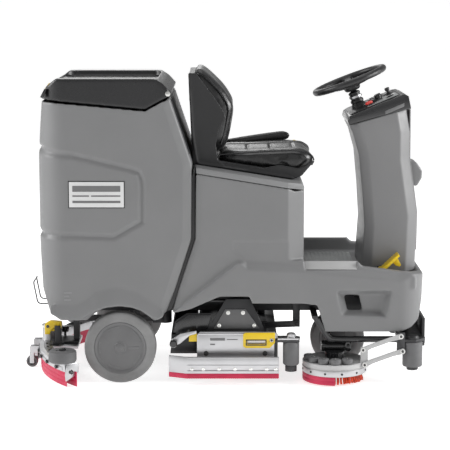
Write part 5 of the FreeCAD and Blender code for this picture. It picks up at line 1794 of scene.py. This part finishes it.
def build_squeegee():
    crisp("squeegee_yoke", "squeegee_yoke", "steel", 1)
    crisp("squeegee_arm", "squeegee", "steel", 1.2)

    body = copy_of("squeegee_body", "squeegee_casting")
    bevel(body, 1.5, 2)
    painted(body, M["silver"])
    top = curved_bar("bar_top_rib", 743, [(-14, 105), (14, 105), (12, 109), (-12, 109)], 440)
    painted(smooth(top, 30), M["rim"])
    lip = curved_bar("bar_rear_lip", 776, [(-1, 74), (2, 75), (2, 88), (-1, 90)], 452)
    painted(smooth(lip, 30), M["silver"])
    parts = [body, top, lip]
    for k in range(13):
        turn = math.radians(-33 + 5.5 * k)
        spot = (BAR_CENTRE - 742 * math.cos(turn), 742 * math.sin(turn), 108)
        parts.append(painted(bolt(f"bar_nut_{k}", spot, "+Z", 5, 4), M["gloss_black"]))
    for k in range(9):
        turn = math.radians(-32 + 8 * k)
        out = Vector((-math.cos(turn), math.sin(turn), 0))
        aim = Vector((0, 0, 1)).rotation_difference(out).to_matrix()
        clamp = lathe(f"bar_clamp_{k}", [(0, 0), (6, 0), (6, 3), (9, 4), (9, 9), (6, 11), (0, 11)],
                      (BAR_CENTRE - 776 * math.cos(turn), 776 * math.sin(turn), 82), aim, 20)
        parts.append(painted(smooth(clamp), M["gloss_black"]))
    slots = [
        painted(slab(f"bar_slot_{i}", (x, x + 40), (y, y + 9), 105.5, 107, plane="XY"), M["black"])
        for i, (x, y) in enumerate(((-802, -108), (-802, -92), (-802, 84), (-802, 100)))
    ]
    whole = joined("squeegee_body_set", *parts, *slots)
    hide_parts("squeegee_body")
    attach(whole, "squeegee")

    for sign, side in ((-1, "right"), (1, "left")):
        turn = math.asin(462 / 748)
        spot = Vector((BAR_CENTRE - 748 * math.cos(turn), sign * 462, 0))
        plate = prism(f"end_plate_{side}", [(-30, 30), (34, 62), (36, 102), (-26, 102), (-34, 60)], -2.5, 2.5)
        plate.data.transform(Matrix.Rotation(-sign * turn * 0.9, 4, "Z"))
        plate.data.transform(Matrix.Translation(spot * MM))
        piece(bevel(plate, 1, 2), "squeegee", material=M["silver"])
        screw = bolt(f"end_screw_{side}", (spot.x - 4, sign * 466, 70), "-Y" if sign < 0 else "+Y", 8, 8)
        piece(smooth(screw, 30), "squeegee", material=M["gloss_black"])

    ribs = []
    for radius, label in ((770, "rear"), (735, "front")):
        blade = curved_bar(f"blade_{label}", radius, [(-4, 4), (-0.5, 4), (0, 8), (0, 70), (-4, 70)], 466, 72)
        ribs.append(smooth(blade, 30))
        for level in (22, 40, 56):
            ribs.append(
                curved_bar(
                    f"blade_rib_{label}_{level}",
                    radius,
                    [(-0.5, level), (1.2, level + 1), (1.2, level + 3), (-0.5, level + 4)],
                    464,
                    48,
                ),
            )
    piece(joined("squeegee_blade_set", *ribs), "squeegee", "squeegee_blades", material=M["red_rubber"])

    wheels, hubs = [], []
    for i, y in enumerate((-87, 63)):
        wheels.append(
            lathe(
                f"castor_tread_{i}",
                [(17, 1), (24, 0), (27, 4), (27, 20), (24, 24), (17, 23)],
                (-888, y, 27),
                "Y",
                44,
                closed=True,
            ),
        )
        hubs.append(
            lathe(
                f"castor_hub_{i}",
                [(5.2, 0.5), (10, 0.5), (12, 4), (17.5, 5), (17.5, 19), (12, 20), (10, 23.5), (5.2, 23.5)],
                (-888, y, 27),
                "Y",
                36,
                closed=True,
            ),
        )
    tread = painted(smooth(joined("castor_treads", *wheels), 35), M["guard"])
    hub = painted(smooth(joined("castor_hubs", *hubs), 35), M["gloss_black"])
    whole = joined("castor_pair", tread, hub)
    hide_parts("castors")
    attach(whole, "castors")

    for sign, side in ((-1, "right"), (1, "left")):
        disc = lathe(
            f"deflector_disc_{side}",
            [
                (8.3, 107.5), (48, 107.5), (56, 109), (61, 114), (62, 120), (62, 150), (60, 156), (54, 160),
                (30, 160), (28, 156), (20, 156), (18, 160), (8.3, 160),
            ],
            (-711, sign * 430, 0),
            "Z",
            64,
            closed=True,
        )
        piece(smooth(disc, 30), f"deflector_{side}", f"deflector_{side}", material=M["guard"])
        cap = lathe(
            f"deflector_cap_{side}",
            [(0, 160), (17, 160), (17, 164), (12, 168), (0, 169)],
            (-711, sign * 430, 0),
            "Z",
            32,
        )
        piece(smooth(cap), "squeegee", material=M["gloss_black"])
        arm = tube(
            f"deflector_arm_{side}",
            [(-711, sign * 430, 104), (-735, sign * 380, 110), (-762, sign * 330, 108)],
            7,
            20,
            12,
        )
        piece(smooth(arm, 60), "squeegee", material=M["steel"])

    lever = copy_of("release_lever", "release_lever_body")
    bevel(lever, 2.5, 3)
    piece(lever, "release_lever", "release_lever", material=M["yellow"])
    dot = lathe("release_dot", [(0, 0), (7, 0), (7, 2), (0, 2.4)], (-814, -76, 190), facing_y(-1), 24)
    piece(smooth(dot), "release_lever", material=M["gloss_black"])
    knob = lathe(
        "height_knob",
        [(0, 0), (6, 0), (6, 18), (17, 20), (19, 26), (19, 40), (15, 46), (0, 47)],
        (-748, 66, 116),
        "Z",
        32,
    )
    piece(smooth(knob, 35), "squeegee", material=M["gloss_black"])

    hose_ring = lathe(
        "neck_ring",
        [(28, 0), (33, 0), (34, 3), (34, 9), (33, 12), (28, 12)],
        (-818, 22, 168),
        "Z",
        40,
        closed=True,
    )
    clip = lathe("elbow_clip", [(26, 0), (31, 0), (31, 10), (26, 10)], (-772, 22, 164), "X", 40, closed=True)
    piece(smooth(joined("neck_clips", hose_ring, clip), 30), "squeegee", material=M["zinc"])

    wire = tube(
        "bail_wire_bent",
        [
            (-752, -60, 297), (-845, -60, 294), (-860, -60, 300), (-878, -60, 396), (-872, -50, 404),
            (-872, 50, 404), (-878, 60, 396), (-860, 60, 300), (-845, 60, 294), (-752, 60, 297),
        ],
        3,
        14,
        12,
    )
    piece(smooth(wire, 60), "chassis", "hose_bail", material=M["wire"])
    feet = [
        bevel(box(f"bail_foot_{i}", (-778, -742), (y - 12, y + 12), (290, 306)), 2, 2)
        for i, y in enumerate((-60, 60))
    ]
    piece(joined("bail_feet", *feet), "chassis", material=M["black"])


build_frame()
build_deck()
build_side_deck()
build_squeegee()


# ---------------------------------------------------------------------------
# Studio and camera
# ---------------------------------------------------------------------------

FLOOR_REACH = 400
CAMERA_SPOT = (0.006, -7.35, 1.775)
CAMERA_TILT = 81.32
CAMERA_LENS = 128.5
LAMP_AIM = Vector((0, 0, 0.6))


def build_studio():
    reach = FLOOR_REACH
    floor_mesh = bpy.data.meshes.new("studio_floor")
    corners = [(-reach, -reach, 0), (reach, -reach, 0), (reach, reach, 0), (-reach, reach, 0)]
    floor_mesh.from_pydata(corners, [], [(0, 1, 2, 3)])
    floor = linked("studio_floor", floor_mesh)
    material, tree, shader, coords = new_material("studio_floor", "floor")
    tint = ramp(tree, noise(tree, coords, 0.7, 3), grey(0.68), grey(0.7))
    tree.links.new(tint, shader.inputs["Base Color"])
    shader.inputs["Roughness"].default_value = 0.7
    shader.inputs["Specular IOR Level"].default_value = 0.1
    shader.inputs["Emission Color"].default_value = (1, 1, 1, 1)
    shader.inputs["Emission Strength"].default_value = 0.75
    floor_mesh.materials.append(material)

    world = bpy.data.worlds.new("studio_world")
    world.use_nodes = True
    background = world.node_tree.nodes["Background"]
    background.inputs["Color"].default_value = (1, 1, 1, 1)
    background.inputs["Strength"].default_value = 0.36
    bpy.context.scene.world = world

    lamps = (
        ("right_side", (5.2, -1.0, 2.6), 2.6, 270),
        ("left_side", (-5.2, -0.9, 2.8), 2.6, 210),
        ("front", (0.6, -6.2, 4.0), 4.0, 20),
        ("top", (0.0, 0.3, 5.4), 3.6, 60),
        ("rear", (-1.0, 5.6, 3.6), 3.0, 50),
    )
    for name, spot, size, power in lamps:
        light = bpy.data.lights.new(name, "AREA")
        light.shape = "SQUARE"
        light.size = size
        light.energy = power
        lamp = bpy.data.objects.new(name, light)
        lamp.location = spot
        aim = LAMP_AIM - Vector(spot)
        lamp.rotation_euler = aim.to_track_quat("-Z", "Y").to_euler()
        bpy.context.scene.collection.objects.link(lamp)


def build_camera():
    data = bpy.data.cameras.new("camera")
    data.sensor_width = 36
    data.lens = CAMERA_LENS
    data.clip_end = 3 * FLOOR_REACH
    camera = bpy.data.objects.new("camera", data)
    camera.location = CAMERA_SPOT
    camera.rotation_euler = (math.radians(CAMERA_TILT), 0, 0)
    bpy.context.scene.collection.objects.link(camera)
    bpy.context.scene.camera = camera


build_studio()
build_camera()
bpy.context.scene.view_settings.view_transform = "Standard"
